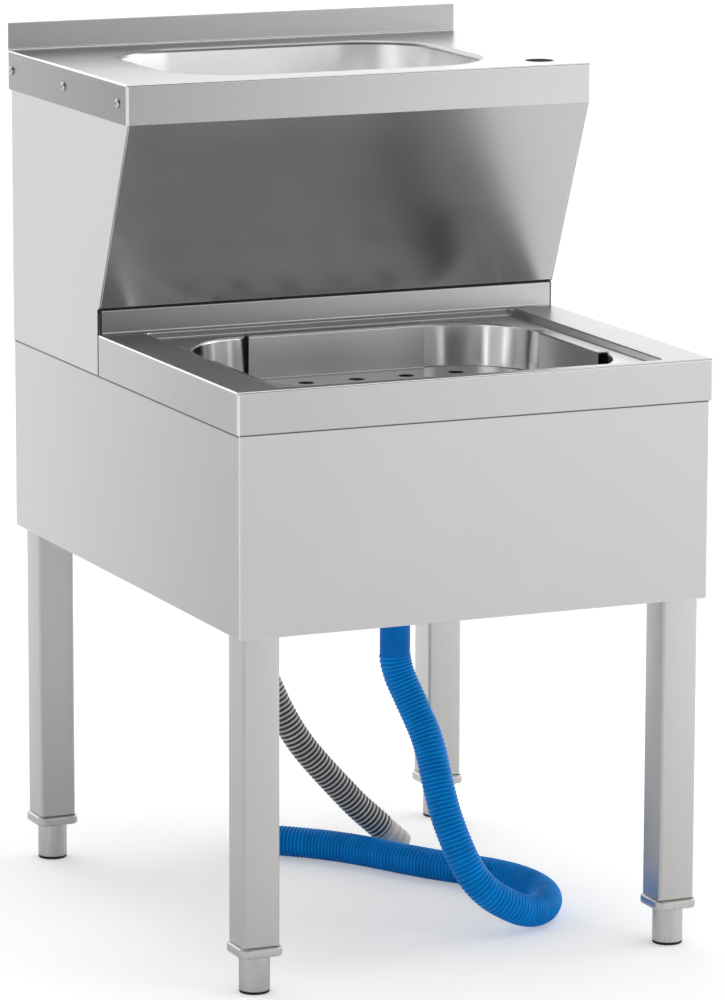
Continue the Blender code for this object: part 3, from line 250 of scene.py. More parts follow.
def ribbed_hose_tree():
    """A node tree that sweeps a curve into a tube whose radius rises and falls in even ribs."""
    tree, given = start_node_tree(
        "ribbed hose", "Hose", Geometry=["Line"], Int=["Sides"],
        Float=["Radius", "Rib pitch", "Rib height", "Plain length", "Crest share"],
    )
    pitch = given["Rib pitch"]
    steps = {"Curve": given["Line"], "Length": calculate(tree, "DIVIDE", pitch, STEPS_PER_RIB)}
    line = output_of(tree, "GeometryNodeResampleCurve", steps, mode="LENGTH")
    travelled = output_of(tree, "GeometryNodeSplineParameter", output="Length")
    turn = calculate(tree, "FRACT", calculate(tree, "DIVIDE", travelled, pitch))
    swing = calculate(tree, "ABSOLUTE", calculate(tree, "MULTIPLY_ADD", turn, 2.0, -1.0))
    rise = output_of(
        tree, "ShaderNodeMapRange",
        {"Value": calculate(tree, "SUBTRACT", 1.0, swing), "From Max": given["Crest share"]},
        interpolation_type="SMOOTHSTEP",
    )
    past_plain = calculate(tree, "GREATER_THAN", travelled, given["Plain length"])
    crest = calculate(tree, "MULTIPLY", rise, past_plain)
    stored = output_of(
        tree, "GeometryNodeStoreNamedAttribute", {"Geometry": line, "Name": "crest", "Value": crest},
        data_type="FLOAT", domain="POINT",
    )
    dip = calculate(tree, "MULTIPLY", given["Rib height"], calculate(tree, "SUBTRACT", 1.0, crest))
    thickness = calculate(tree, "SUBTRACT", given["Radius"], dip)
    circle = {"Resolution": given["Sides"], "Radius": 1.0}
    section = output_of(tree, "GeometryNodeCurvePrimitiveCircle", circle, mode="RADIUS")
    tube = output_of(
        tree, "GeometryNodeCurveToMesh", {"Curve": stored, "Profile Curve": section, "Scale": thickness},
    )
    return finish_node_tree(tree, tube, given["Material"])


def plain_mesh(item, name):
    """The evaluated shape of an object as a new object with a plain mesh; the old one is removed."""
    bpy.context.view_layer.update()
    evaluated = item.evaluated_get(bpy.context.evaluated_depsgraph_get())
    mesh = bpy.data.meshes.new_from_object(evaluated)
    bpy.data.objects.remove(item, do_unlink=True)
    mesh.name = name
    piece = bpy.data.objects.new(name, mesh)
    bpy.context.scene.collection.objects.link(piece)
    return piece


def install(piece, body, slot_name, *nodes):
    """Let a finished piece ride on its body and stand for the frame's nodes."""
    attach(piece, body)
    if nodes:
        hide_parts(*nodes)
    return piece


def drawn_line(name, points):
    """An object with one open line through points."""
    curve = bpy.data.curves.new(name, "CURVE")
    curve.dimensions = "3D"
    spline = curve.splines.new("POLY")
    spline.points.add(len(points) - 1)
    for knot, point in zip(spline.points, points):
        knot.co = (*point, 1.0)
    item = bpy.data.objects.new(name, curve)
    bpy.context.scene.collection.objects.link(item)
    return item


def grown(item, name, tree, **values):
    """The plain mesh that a node tree makes of an object, with the tree's inputs set by their names."""
    growth = item.modifiers.new("growth", "NODES")
    growth.node_group = tree
    for socket in tree.interface.items_tree:
        key = socket.name.lower().replace(" ", "_")
        if socket.item_type == "SOCKET" and socket.in_out == "INPUT" and key in values:
            growth[socket.identifier] = values[key]
    return plain_mesh(item, name)


def thicken(piece, name, thickness):
    """Give a skin its thickness, away from the side its faces look to."""
    wall = piece.modifiers.new("wall", "SOLIDIFY")
    wall.thickness = thickness
    wall.offset = -1.0
    piece = plain_mesh(piece, name)
    piece.data.shade_smooth()
    return piece


def make_hose(name, line, tree, material, **sizes):
    """A ribbed hose with a thin wall along a line."""
    hose = grown(drawn_line(f"{name}_line", line), name, tree, sides=HOSE_SIDES, material=material, **sizes)
    return thicken(hose, name, HOSE_WALL)


blue_plastic = hose_plastic("blue hose plastic", BLUE_COLOUR, BLUE_CREST_HIGHLIGHT, 0.40, 0.08)
hose_tree = ribbed_hose_tree()
blue_line = smooth_line(BLUE_ROUTE)
blue_hose = make_hose(
    "blue_waste_hose", blue_line, hose_tree, blue_plastic, radius=BLUE_RADIUS, rib_pitch=BLUE_RIB_PITCH,
    rib_height=BLUE_RIB_HEIGHT, plain_length=BLUE_PLAIN_LENGTH, crest_share=BLUE_CREST_SHARE,
)
install(blue_hose, "sink", "blue_plastic", "blue_hose")

# The blue hose's cuffs: one grips the bowl's waste, the other closes the free end on the floor.
# Both are smooth turned sleeves of the hose's own plastic with a rolled bead at each end.
CUFF_SIDES = 48
CUFF_LENGTH = 0.032
CUFF_BORE = 0.0128
BLUE_CUFF_RADIUS = 0.017
BLUE_CUFF_FOOT = 0.3100
BLUE_END_CUFF_RADIUS = 0.0152
BLUE_END_CUFF_LENGTH = 0.034
END_CUFF_WALL = 0.003
CUFF_GAP = 0.0003
BEAD_STEPS = 4
RIM_ROUND_SHARE = 0.4
SMOOTH_ANGLE = math.radians(35)


def turned_mesh(name, profile, sides, place, material=None, direction=(0, 0, 1)):
    """A body turned about an axis through a place. Its closed profile lists (radius, height)."""
    mesh_data = bmesh.new()
    rings = []
    for radius, height in profile:
        if radius == 0:
            rings.append([mesh_data.verts.new((0, 0, height))])
            continue
        turns = [2 * math.pi * k / sides for k in range(sides)]
        spots = [(radius * math.cos(a), radius * math.sin(a), height) for a in turns]
        rings.append([mesh_data.verts.new(spot) for spot in spots])
    pairs = list(zip(rings, rings[1:]))
    if all(len(ring) > 1 for ring in rings):
        pairs.append((rings[-1], rings[0]))
    for lower, upper in pairs:
        for k in range(sides):
            n = (k + 1) % sides
            if len(lower) == 1:
                mesh_data.faces.new((lower[0], upper[k], upper[n]))
            elif len(upper) == 1:
                mesh_data.faces.new((lower[k], lower[n], upper[0]))
            else:
                mesh_data.faces.new((lower[k], lower[n], upper[n], upper[k]))
    turn = Vector(direction).to_track_quat("Z", "X").to_matrix().to_4x4()
    bmesh.ops.transform(mesh_data, matrix=Matrix.Translation(place) @ turn, verts=mesh_data.verts)
    return finish_mesh(name, mesh_data, *([material] if material else []))


def finish_mesh(name, mesh_data, *materials):
    """Turn a bmesh into an object with its normals out, smooth but for its sharp edges."""
    bmesh.ops.recalc_face_normals(mesh_data, faces=mesh_data.faces)
    mesh = bpy.data.meshes.new(name)
    mesh_data.to_mesh(mesh)
    mesh_data.free()
    for material in materials:
        mesh.materials.append(material)
    mesh.shade_smooth()
    mesh.set_sharp_from_angle(angle=SMOOTH_ANGLE)
    piece = bpy.data.objects.new(name, mesh)
    bpy.context.scene.collection.objects.link(piece)
    return piece


def arc(size, steps):
    """A quarter round between two straight lines, as points from (size, 0) to (0, size)."""
    turns = [k * math.pi / 2 / steps for k in range(steps + 1)]
    return [(size * (1 - math.sin(a)), size * (1 - math.cos(a))) for a in turns]


def rounded_end(radius, level, size, sense):
    """Profile points of a rounded rim at a level; sense is 1 at an upper end and -1 at a lower one."""
    return [(radius - y, level - sense * x) for x, y in arc(size, BEAD_STEPS)]


def sleeve(name, bore, radius, low, high, place, material, direction=(0, 0, 1), rings=()):
    """A turned sleeve with rounded rims and, where the real one has them, raised rings."""
    round_size = (radius - bore) * RIM_ROUND_SHARE
    outside = list(reversed(rounded_end(radius, low, round_size, -1)))
    for level, width, height in rings:
        outside += [
            (radius, level - width), (radius + height, level - width / 2),
            (radius + height, level + width / 2), (radius, level + width),
        ]
    outside += rounded_end(radius, high, round_size, 1)
    return turned_mesh(name, [(bore, high), (bore, low), *outside], CUFF_SIDES, place, material, direction)


def end_direction(line):
    """The way a line of points runs at its last point."""
    return (line[-1] - line[-2]).normalized()


blue_top_cuff = sleeve(
    "blue_hose_grip", CUFF_BORE, BLUE_CUFF_RADIUS, BLUE_CUFF_FOOT, BLUE_CUFF_FOOT + CUFF_LENGTH,
    (0, BLUE_ROUTE[0][1], 0), blue_plastic,
)
install(blue_top_cuff, "sink", "blue_plastic", "blue_hose_top_cuff")
blue_end_cuff = sleeve(
    "blue_hose_end", BLUE_END_CUFF_RADIUS - END_CUFF_WALL, BLUE_END_CUFF_RADIUS, CUFF_GAP,
    CUFF_GAP + BLUE_END_CUFF_LENGTH, blue_line[-1], blue_plastic, end_direction(blue_line),
)
install(blue_end_cuff, "sink", "blue_plastic", "blue_hose_end_cuff")

# The grey waste hose drops from the hand basin's waste and ends in a paler cuff above the floor.
# It is a harder grey plastic with rounder, shinier ribs.
GREY_ROUTE = [
    (0.0000, 0.1320, 0.6387), (0.0000, 0.1320, 0.6067), (-0.0020, 0.1320, 0.5750),
    (-0.0090, 0.1318, 0.5250), (-0.0190, 0.1315, 0.4750), (-0.0300, 0.1312, 0.4250),
    (-0.0405, 0.1308, 0.3750), (-0.0485, 0.1304, 0.3250), (-0.0525, 0.1300, 0.2800),
    (-0.0500, 0.1300, 0.2450), (-0.0424, 0.1300, 0.2154), (-0.0313, 0.1300, 0.1890),
    (-0.0198, 0.1300, 0.1655), (-0.0079, 0.1300, 0.1449), (0.0044, 0.1300, 0.1271),
    (0.0163, 0.1300, 0.1125), (0.0277, 0.1300, 0.0994), (0.0450, 0.1300, 0.0802),
    (0.0567, 0.1300, 0.0676), (0.0686, 0.1300, 0.0553), (0.0939, 0.1300, 0.0320),
]
GREY_RADIUS = 0.0145
GREY_RIB_PITCH = 0.0050
GREY_RIB_HEIGHT = 0.0012
GREY_PLAIN_LENGTH = 0.034
GREY_COLOUR = (0.036, 0.035, 0.034)
# The crest colours are painted highlights along the top of each rib.
GREY_CREST_HIGHLIGHT = (0.80, 0.79, 0.78)
GREY_CUFF_COLOUR = (0.60, 0.56, 0.53)
GREY_CUFF_CREST_HIGHLIGHT = (0.74, 0.70, 0.67)
GREY_CUFF_FOOT = 0.6390
GREY_CUFF_RADIUS = 0.0165
GREY_END_CUFF_RADIUS = 0.0134
GREY_END_CUFF_LENGTH = 0.030
GREY_RING_LEVELS = (0.0065, 0.0145, 0.0225)
GREY_RING = (0.0016, 0.0004)

grey_plastic = hose_plastic("grey hose plastic", GREY_COLOUR, GREY_CREST_HIGHLIGHT, 0.30)
pale_plastic = hose_plastic("pale cuff plastic", GREY_CUFF_COLOUR, GREY_CUFF_CREST_HIGHLIGHT, 0.45)
grey_line = smooth_line(GREY_ROUTE)
grey_hose = make_hose(
    "grey_waste_hose", grey_line, hose_tree, grey_plastic, radius=GREY_RADIUS, rib_pitch=GREY_RIB_PITCH,
    rib_height=GREY_RIB_HEIGHT, plain_length=GREY_PLAIN_LENGTH, crest_share=1.0,
)
install(grey_hose, "sink", "grey_plastic", "grey_hose")
grey_top_cuff = sleeve(
    "grey_hose_grip", CUFF_BORE, GREY_CUFF_RADIUS, GREY_CUFF_FOOT, GREY_CUFF_FOOT + CUFF_LENGTH,
    (0, GREY_ROUTE[0][1], 0), grey_plastic,
)
install(grey_top_cuff, "sink", "grey_plastic", "grey_hose_top_cuff")
grey_end_cuff = sleeve(
    "grey_hose_end", GREY_END_CUFF_RADIUS - END_CUFF_WALL, GREY_END_CUFF_RADIUS, CUFF_GAP,
    CUFF_GAP + GREY_END_CUFF_LENGTH, grey_line[-1], pale_plastic, end_direction(grey_line),
    [(level, *GREY_RING) for level in GREY_RING_LEVELS],
)
install(grey_end_cuff, "sink", "pale_plastic", "grey_hose_end_cuff")

# The four legs are square steel tubes with rounded corners, ground along their length.
# They stand inside the skirt's corners; their feet screw into collars plugged into the tube ends.
CORNERS = ("front_left", "front_right", "back_left", "back_right")
LEG_WALL = 0.0015
LEG_ROUND = 0.0032
LEG_EDGE = 0.0003
TUBE_TONE = (0.57, 0.565, 0.555)
HEM_SHADE = 0.2
HEM_SHADE_RISE = 0.002
HEM_SHADE_BLUR = 0.3
APRON_TILT = 0.7
GRAIN_LEAN = 0.03
LIGHT_RAMP_REACH = 0.26


def ground_steel(
    name, tone, roughness, grain, fleck=0.003, clouding=0.02, brushed=0.5, along=(1, 0, 0), apron_painted_shades=None,
    joint=None, light_ramp=None,
):
    """Stainless steel ground to a satin: fine streaks along one axis, with slow clouds in tone and gloss.

    On a folded top the grain runs down the side aprons, and side and front aprons are painted darker: painted
    shade.
    A joint is a level with a width under it that is painted darker: a painted shade under the hem above.
    A shade ramp along an axis, with the shade at its two ends, is a painted gradient of light and shade.
    """
    material, tree, shader, place = start_material(name, 1.0)
    here = axes(tree, place) if apron_painted_shades or joint or light_ramp else None
    grain_place = place
    line = dict(zip("XYZ", (share + GRAIN_LEAN for share in along)))
    painted_face_shades = []
    if apron_painted_shades:
        facing = axes(tree, output_of(tree, "ShaderNodeTexCoord", output="Normal"))
        flank, front = [
            calculate(tree, "GREATER_THAN", calculate(tree, "ABSOLUTE", facing[axis]), APRON_TILT)
            for axis in "XY"
        ]
        swap = calculate(tree, "MULTIPLY", flank, calculate(tree, "SUBTRACT", here["Z"], here["X"]))
        swapped_x = calculate(tree, "ADD", here["X"], swap)
        swapped_z = calculate(tree, "SUBTRACT", here["Z"], swap)
        grain_place = output_of(
            tree, "ShaderNodeCombineXYZ", {"X": swapped_x, "Y": here["Y"], "Z": swapped_z},
        )
        line = {"X": calculate(tree, "SUBTRACT", 1.0, flank), "Y": GRAIN_LEAN, "Z": flank}
        # Painted shade: side and front faces each take a darker shade of their own.
        for side, face_shade in zip((flank, front), apron_painted_shades):
            painted_face_shades.append(spread(tree, side, 0.0, 1.0, 1.0, face_shade))
    streaks = noise(tree, grain_place, 1.0, 3.0, grain)
    clouds = noise(tree, place, 9.0, 2.0)
    shades = [vary(tree, streaks, 1 - fleck, 1 + fleck), vary(tree, clouds, 1 - clouding, 1 + clouding)]
    shades += painted_face_shades
    # Painted light and shade: a gradient along one axis of the sheet.
    if light_ramp:
        axis, first, last = light_ramp
        shades.append(spread(tree, here[axis], -LIGHT_RAMP_REACH, LIGHT_RAMP_REACH, first, last))
    # Painted shade: the band just under the joint is painted darker, where the hem above shades it.
    if joint:
        joint_level, shade_width = joint
        shade_low = joint_level - shade_width
        hem_shadow = spread(tree, here["Z"], shade_low, shade_low + shade_width * HEM_SHADE_BLUR, 1.0, HEM_SHADE)
        unshaded = spread(tree, here["Z"], joint_level + HEM_SHADE_RISE, joint_level + 2 * HEM_SHADE_RISE, 0.0, 1.0)
        shades.append(calculate(tree, "MAXIMUM", hem_shadow, unshaded))
    shade = shades[0]
    for factor in shades[1:]:
        shade = calculate(tree, "MULTIPLY", shade, factor)
    tinted = output_of(tree, "ShaderNodeVectorMath", {0: tone, "Scale": shade}, operation="SCALE")
    tree.links.new(tinted, shader.inputs["Base Color"])
    tree.links.new(vary(tree, clouds, roughness - 0.02, roughness + 0.02), shader.inputs["Roughness"])
    if brushed:
        shader.inputs["Anisotropic"].default_value = brushed
        tree.links.new(output_of(tree, "ShaderNodeCombineXYZ", line), shader.inputs["Tangent"])
    return material


def rounded_points(half_x, half_y, radius, centre, level, steps=10):
    """Points round a rectangle with round corners, counter-clockwise from its right-hand side."""
    points = []
    for corner, (side_x, side_y) in enumerate([(1, 1), (-1, 1), (-1, -1), (1, -1)]):
        for step in range(steps + 1):
            angle = (corner + step / steps) * math.pi / 2
            x = centre[0] + side_x * (half_x - radius) + radius * math.cos(angle)
            y = centre[1] + side_y * (half_y - radius) + radius * math.sin(angle)
            points.append(Vector((x, y, level)))
    return points


def loft(mesh_data, loops, ring=False):
    """Faces between loops of points; a ring joins the last loop to the first. Returns the loops' vertices."""
    made = [[mesh_data.verts.new(p) for p in loop] for loop in loops]
    pairs = list(zip(made, made[1:]))
    if ring:
        pairs.append((made[-1], made[0]))
    for lower, upper in pairs:
        count = len(lower)
        for k in range(count):
            n = (k + 1) % count
            mesh_data.faces.new((lower[k], lower[n], upper[n], upper[k]))
    return made


def round_the_edges(piece, name, width, steps=3, edge_slot=-1):
    """Give a piece's sharp edges a small round that catches the light, with a painted highlight steel on it
    if wanted.
    """
    bevel = piece.modifiers.new("edges", "BEVEL")
    bevel.width = width
    bevel.segments = steps
    bevel.limit_method = "ANGLE"
    bevel.angle_limit = SMOOTH_ANGLE
    bevel.harden_normals = True
    bevel.material = edge_slot
    return plain_mesh(piece, name)


def box_of(node):
    """A frame node's lowest corner, highest corner, middle and half width."""
    low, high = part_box(node)
    return low, high, (low + high) / 2, (high.x - low.x) / 2


tube_steel = ground_steel("tube steel", TUBE_TONE, 0.34, (1200, 1200, 12), 0.015, along=(0, 0, 1))
for corner in CORNERS:
    low, high, middle, half = box_of(f"leg_{corner}")
    outside = (half, half, LEG_ROUND, middle)
    inside = (half - LEG_WALL, half - LEG_WALL, LEG_ROUND - LEG_WALL, middle)
    sections = ((outside, high), (outside, low), (inside, low), (inside, high))
    mesh_data = bmesh.new()
    loft(mesh_data, [rounded_points(*section, end.z) for section, end in sections], ring=True)
    leg = finish_mesh(f"tube_leg_{corner}", mesh_data, tube_steel)
    leg = round_the_edges(leg, leg.name, LEG_EDGE, 2)
    install(leg, "sink", "tube_steel", f"leg_{corner}")

# The collars are square caps a little wider than the tubes, with a plug inside and a threaded bore.
# Each foot is a plated disc on a threaded stem, with a dark sole that doesn't scratch the floor.
COLLAR_ROUND = 0.0018
COLLAR_PLUG_INSET = 0.0018
BORE_RADIUS = 0.0064
STEM_RADIUS = 0.0056
THREAD_HEIGHT = 0.0004
THREAD_PITCH = 0.00175
FOOT_SIDES = 48
FOOT_EDGE = 0.0007
FOOT_HEADROOM = 0.0015
FOOT_TONE = (0.62, 0.605, 0.59)
SOLE_EDGE = 0.0004
SOLE_COLOUR = (0.018, 0.017, 0.016)
SOLE_DUST = (0.05, 0.048, 0.045)

foot_steel = ground_steel("foot steel", FOOT_TONE, 0.30, (900, 900, 40), 0.06, brushed=0.0)
# Black rubber for soles and washers, also used for dark strips and as painted shade.
rubber_and_shade_black, tree, shader, place = start_material("sole rubber")
dust = noise(tree, place, 400.0, 4.0)
dusted = blend_colours(tree, spread(tree, dust, 0.4, 0.7, 0.0, 1.0), SOLE_COLOUR, SOLE_DUST)
tree.links.new(dusted, shader.inputs["Base Color"])
tree.links.new(vary(tree, dust, 0.6, 0.8), shader.inputs["Roughness"])
roughen(tree, shader, dust, 0.3, 0.0003)


def foot_profile(low, top, stem_top, radius):
    """Half section of a levelling foot: straight disc, then a threaded stem."""
    profile = [
        (0, low), (radius - FOOT_EDGE, low), (radius, low + FOOT_EDGE), (radius, low + FOOT_EDGE * 2),
        (radius, top - FOOT_EDGE * 2), *rounded_end(radius, top, FOOT_EDGE, 1), (STEM_RADIUS, top),
    ]
    level = top + THREAD_PITCH
    while level < stem_top - THREAD_PITCH:
        profile += [(STEM_RADIUS, level), (STEM_RADIUS + THREAD_HEIGHT, level + THREAD_PITCH / 2)]
        level += THREAD_PITCH
    return [*profile, (STEM_RADIUS, level), (STEM_RADIUS - FOOT_EDGE, stem_top), (0, stem_top)]


for corner in CORNERS:
    low, high, middle, half = box_of(f"leg_collar_{corner}")
    foot_top = low.z - FOOT_HEADROOM
    leg_low, _, _, leg_half = box_of(f"leg_{corner}")
    top = leg_low.z - CUFF_GAP
    plug = (leg_half - COLLAR_PLUG_INSET, leg_half - COLLAR_PLUG_INSET, LEG_ROUND - LEG_WALL)
    bore = (BORE_RADIUS, BORE_RADIUS, BORE_RADIUS)
    rounds = [*reversed(rounded_end(half, low.z, COLLAR_ROUND, -1)), *rounded_end(half, top, COLLAR_ROUND, 1)]
    corner_extra = LEG_ROUND - plug[0]
    mesh_data = bmesh.new()
    loft(mesh_data, [
        rounded_points(*bore, middle, low.z),
        *(rounded_points(reach, reach, reach + corner_extra, middle, level) for reach, level in rounds),
        rounded_points(*plug, middle, top), rounded_points(*plug, middle, high.z),
        rounded_points(*bore, middle, high.z),
    ], ring=True)
    collar = finish_mesh(f"tube_collar_{corner}", mesh_data, foot_steel)
    install(collar, "sink", "foot_steel", f"leg_collar_{corner}")

    axis = (middle.x, middle.y, 0)
    low, high, _, half = box_of(f"foot_{corner}")
    profile = foot_profile(low.z, foot_top, high.z, half)
    foot = turned_mesh(f"levelling_foot_{corner}", profile, FOOT_SIDES, axis, foot_steel)
    install(foot, f"{corner}_foot", "foot_steel", f"foot_{corner}")
    low, high, _, half = box_of(f"foot_sole_{corner}")
    profile = [
        (0, low.z), (half - SOLE_EDGE, low.z), (half, low.z + SOLE_EDGE),
        *rounded_end(half, high.z, SOLE_EDGE, 1), (0, high.z),
    ]
    sole = turned_mesh(f"foot_pad_{corner}", profile, FOOT_SIDES, axis, rubber_and_shade_black)
    install(sole, f"{corner}_foot", "black_rubber", f"foot_sole_{corner}")

# The skirt's four panels are flat satin sheets with a flange turned in along the foot.
# Brackets in the corners tie them to the legs.
PANEL_TONE = (0.585, 0.585, 0.585)
# The front and back panels take a darker copy of the side panels' steel: painted shade by the way they face.
SHADED_FRONT_TONE = (0.52, 0.52, 0.52)
SIDE_TONE = (0.60, 0.60, 0.60)
# The edge tone is a painted highlight: folds and rounded edges are painted brighter than the sheet.
HIGHLIGHT_TONE = (0.82, 0.82, 0.82)
SHEET_EDGE = 0.0005
MERGE_REACH = 0.00002
FRONT_GRAIN = (12, 1400, 1400)
SIDE_GRAIN = (1400, 12, 1400)

skirt_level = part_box("lower_top")[0].z
highlight_steel = ground_steel("bright edge steel", HIGHLIGHT_TONE, 0.22, (300, 300, 300), brushed=0.0)
# Both skirt steels are painted darker just under the lower top's hem: a painted shade line.
front_steel = ground_steel("front panel steel", SHADED_FRONT_TONE, 0.30, FRONT_GRAIN, joint=(skirt_level, 0.0020))
back_steel = ground_steel("back panel steel", SHADED_FRONT_TONE, 0.30, FRONT_GRAIN)
# The side panels are painted darker towards the front: painted shade.
side_steel = ground_steel(
    "side panel steel", SIDE_TONE, 0.30, SIDE_GRAIN, along=(0, 1, 0), joint=(skirt_level, 0.0034),
    light_ramp=("Y", 0.90, 1.14),
)


def merged_copy(mesh):
    """A mesh as a bmesh in which points at one place are one."""
    mesh_data = bmesh.new()
    mesh_data.from_mesh(mesh)
    bmesh.ops.remove_doubles(mesh_data, verts=mesh_data.verts, dist=MERGE_REACH)
    return mesh_data


def dressed_sheet(node, name, material, edge=SHEET_EDGE):
    """A sheet with the frame node's shape, its triangles merged and its edges finely rounded in a painted
    highlight steel.
    """
    mesh_data = merged_copy(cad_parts[node].data)
    bmesh.ops.dissolve_limit(
        mesh_data, angle_limit=math.radians(1), verts=mesh_data.verts, edges=mesh_data.edges,
    )
    piece = finish_mesh(name, mesh_data, material, highlight_steel)
    piece = round_the_edges(piece, name, edge, edge_slot=1)
    return install(piece, "sink", "satin_steel", node)


dressed_sheet("skirt_front", "front_skirt_panel", front_steel)
dressed_sheet("skirt_back", "back_skirt_panel", back_steel)
dressed_sheet("skirt_left", "left_skirt_panel", side_steel)
dressed_sheet("skirt_right", "right_skirt_panel", side_steel)
for corner in CORNERS:
    dressed_sheet(f"leg_bracket_{corner}", f"corner_bracket_{corner}", tube_steel)

# The lower top is one folded sheet: flat border, aprons with a hem, and a low upstand at the back.
# The border's folds and the upstand's foot are small rounds in a brighter steel, a painted highlight along
# them.
LOWER_SHEET = 0.0012
FOLD_ROUND = 0.0018
FOLD_STEPS = 5
STRAIGHT_LIMIT = 0.00001
LOWER_HEM = 0.0029
LOWER_HEM_HEIGHT = 0.015
LOWER_CORNER = 0.0024
RECESS_SIDE_BORDER = 0.0455
RECESS_FRONT_BORDER = 0.012
RECESS_BACK_BORDER = 0.0016
RECESS_CORNER = 0.010
UPSTAND_RISE = 0.024
UPSTAND_THICK = 0.0021
UPSTAND_END = 0.0035
UPSTAND_SHADED_TONE = (0.44, 0.44, 0.44)
OVERRUN = 0.004
FIT = 0.0003

lower_low, lower_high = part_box("lower_top")
lower_level = lower_high.z - UPSTAND_RISE
upstand_y = lower_high.y - UPSTAND_THICK - FIT
recess_back = upstand_y - RECESS_BACK_BORDER
recess_front = lower_low.y + RECESS_FRONT_BORDER
recess_centre = (0, (recess_back + recess_front) / 2)
recess_half_x = lower_high.x - RECESS_SIDE_BORDER
recess_half_y = (recess_back - recess_front) / 2
recess_size = (recess_half_x, recess_half_y, RECESS_CORNER)


def folded_top(name, low, high, corner, level, hole, material, hem=None):
    """A flat top with a hole, folded down on all sides to a frame box's foot, with its folds and corners in a
    painted highlight steel.

    The hole is given as half x, half y, radius and centre, the hem as thickness and height.
    """
    apron = level - low.z
    sections = [
        (FOLD_ROUND + FIT, 0.0), *arc(FOLD_ROUND, FOLD_STEPS), (0.0, FOLD_ROUND + FIT),
        (0.0, apron - SHEET_EDGE), (SHEET_EDGE, apron),
    ]
    if hem:
        thick, height = hem
        sections += [(thick - SHEET_EDGE, apron), (thick, apron - SHEET_EDGE), (thick, apron - height)]
    sections += [(LOWER_SHEET, apron - (height if hem else 0.0)), (LOWER_SHEET, LOWER_SHEET)]
    half_y = (high.y - low.y) / 2
    loops = [rounded_points(*hole, level)]
    for inset, drop in sections:
        size = (high.x - inset, half_y - inset, max(corner - inset, FIT))
        loops.append(rounded_points(*size, (low + high) / 2, level - drop))
    loops.append(rounded_points(*hole, level - LOWER_SHEET))
    mesh_data = bmesh.new()
    loft(mesh_data, loops, ring=True)
    mesh_data.faces.ensure_lookup_table()
    around = len(loops[0])
    # Bands 2 to FOLD_STEPS + 1 are the fold and take the painted highlight steel; the two below it take it
    # only round the corners.
    for band in range(2, FOLD_STEPS + 4):
        for k in range(around):
            in_corner = (k + 1) % (around // 4) != 0
            if band <= FOLD_STEPS + 1 or in_corner:
                mesh_data.faces[band * around + k].material_index = 1
    return finish_mesh(name, mesh_data, material, highlight_steel)


def cut_away(piece, name, tool):
    """Cut a tool body out of a piece and drop the tool."""
    modifier = piece.modifiers.new("cut", "BOOLEAN")
    modifier.operation = "DIFFERENCE"
    modifier.solver = "EXACT"
    modifier.object = tool
    piece = plain_mesh(piece, name)
    piece.data.set_sharp_from_angle(angle=SMOOTH_ANGLE)
    bpy.data.objects.remove(tool, do_unlink=True)
    return piece


def box_piece(name, low, high, material=None):
    """A plain box between two corners."""
    mesh_data = bmesh.new()
    size = Vector(high) - Vector(low)
    middle = (Vector(high) + Vector(low)) / 2
    matrix = Matrix.Translation(middle) @ Matrix.Diagonal((*size, 1.0))
    bmesh.ops.create_cube(mesh_data, size=1.0, matrix=matrix)
    return finish_mesh(name, mesh_data, material)


def is_bend(start, end):
    """1 where a stretch of a section runs aslant, as it does only in a bend, else 0."""
    return int(min(abs(end[0] - start[0]), abs(end[1] - start[1])) > STRAIGHT_LIMIT)


def extrude_outline(mesh_data, outline, turn, start, end):
    """A turned solid of one section from start to end along X, with its bends in the second material, a
    painted highlight steel.
    """
    ends = [[mesh_data.verts.new(turn @ Vector((x, *spot))) for spot in outline] for x in (start, end)]
    mesh_data.faces.new(ends[0])
    mesh_data.faces.new(reversed(ends[1]))
    for k, spot in enumerate(outline):
        n = (k + 1) % len(outline)
        side = mesh_data.faces.new((ends[0][k], ends[0][n], ends[1][n], ends[1][k]))
        side.material_index = is_bend(spot, outline[n])


def upstand_strip(name, half, back_y, thick, level, rise, material):
    """A low wall across a top, with a round at its foot and a hemmed top edge."""
    face_y = back_y - thick
    crest = level + rise
    foot = [(face_y - x, level + y) for x, y in arc(FOLD_ROUND, FOLD_STEPS)]
    bend = arc(thick / 2, BEAD_STEPS)
    hem = [(face_y + y, crest - x) for x, y in bend]
    hem += [(back_y - y, crest - x) for x, y in reversed(bend[:-1])]
    mesh_data = bmesh.new()
    outline = [(face_y, level - FIT), *foot, *hem, (back_y, level - FIT)]
    extrude_outline(mesh_data, outline, Matrix(), -half, half)
    strip = finish_mesh(name, mesh_data, material, highlight_steel)
    return install(strip, "sink", "satin_steel")


# The lower top's aprons are painted darker than its border: painted shade.
top_steel = ground_steel("lower top steel", PANEL_TONE, 0.28, FRONT_GRAIN, apron_painted_shades=(0.86, 0.83))
# The low upstand takes a darker copy of the top's steel, darkest at the left: painted shade.
upstand_steel = ground_steel("lower upstand steel", UPSTAND_SHADED_TONE, 0.28, FRONT_GRAIN, light_ramp=("X", 0.45, 1.25))
hole = (recess_half_x + FIT, recess_half_y + FIT, RECESS_CORNER + FIT, recess_centre)
lower_top = folded_top(
    "lower_deck", lower_low, lower_high, LOWER_CORNER, lower_level, hole, top_steel,
    (LOWER_HEM, LOWER_HEM_HEIGHT),
)
open_back = box_piece(
    "back opening", (LOWER_HEM - lower_high.x, lower_high.y - LOWER_HEM - OVERRUN, lower_low.z - OVERRUN),
    (lower_high.x - LOWER_HEM, lower_high.y + OVERRUN, lower_level - LOWER_SHEET),
)
lower_top = cut_away(lower_top, "lower_deck", open_back)
install(lower_top, "sink", "satin_steel", "lower_top")
upstand_strip(
    "lower_upstand", lower_high.x - UPSTAND_END, upstand_y + UPSTAND_THICK, UPSTAND_THICK, lower_level,
    UPSTAND_RISE, upstand_steel,
)

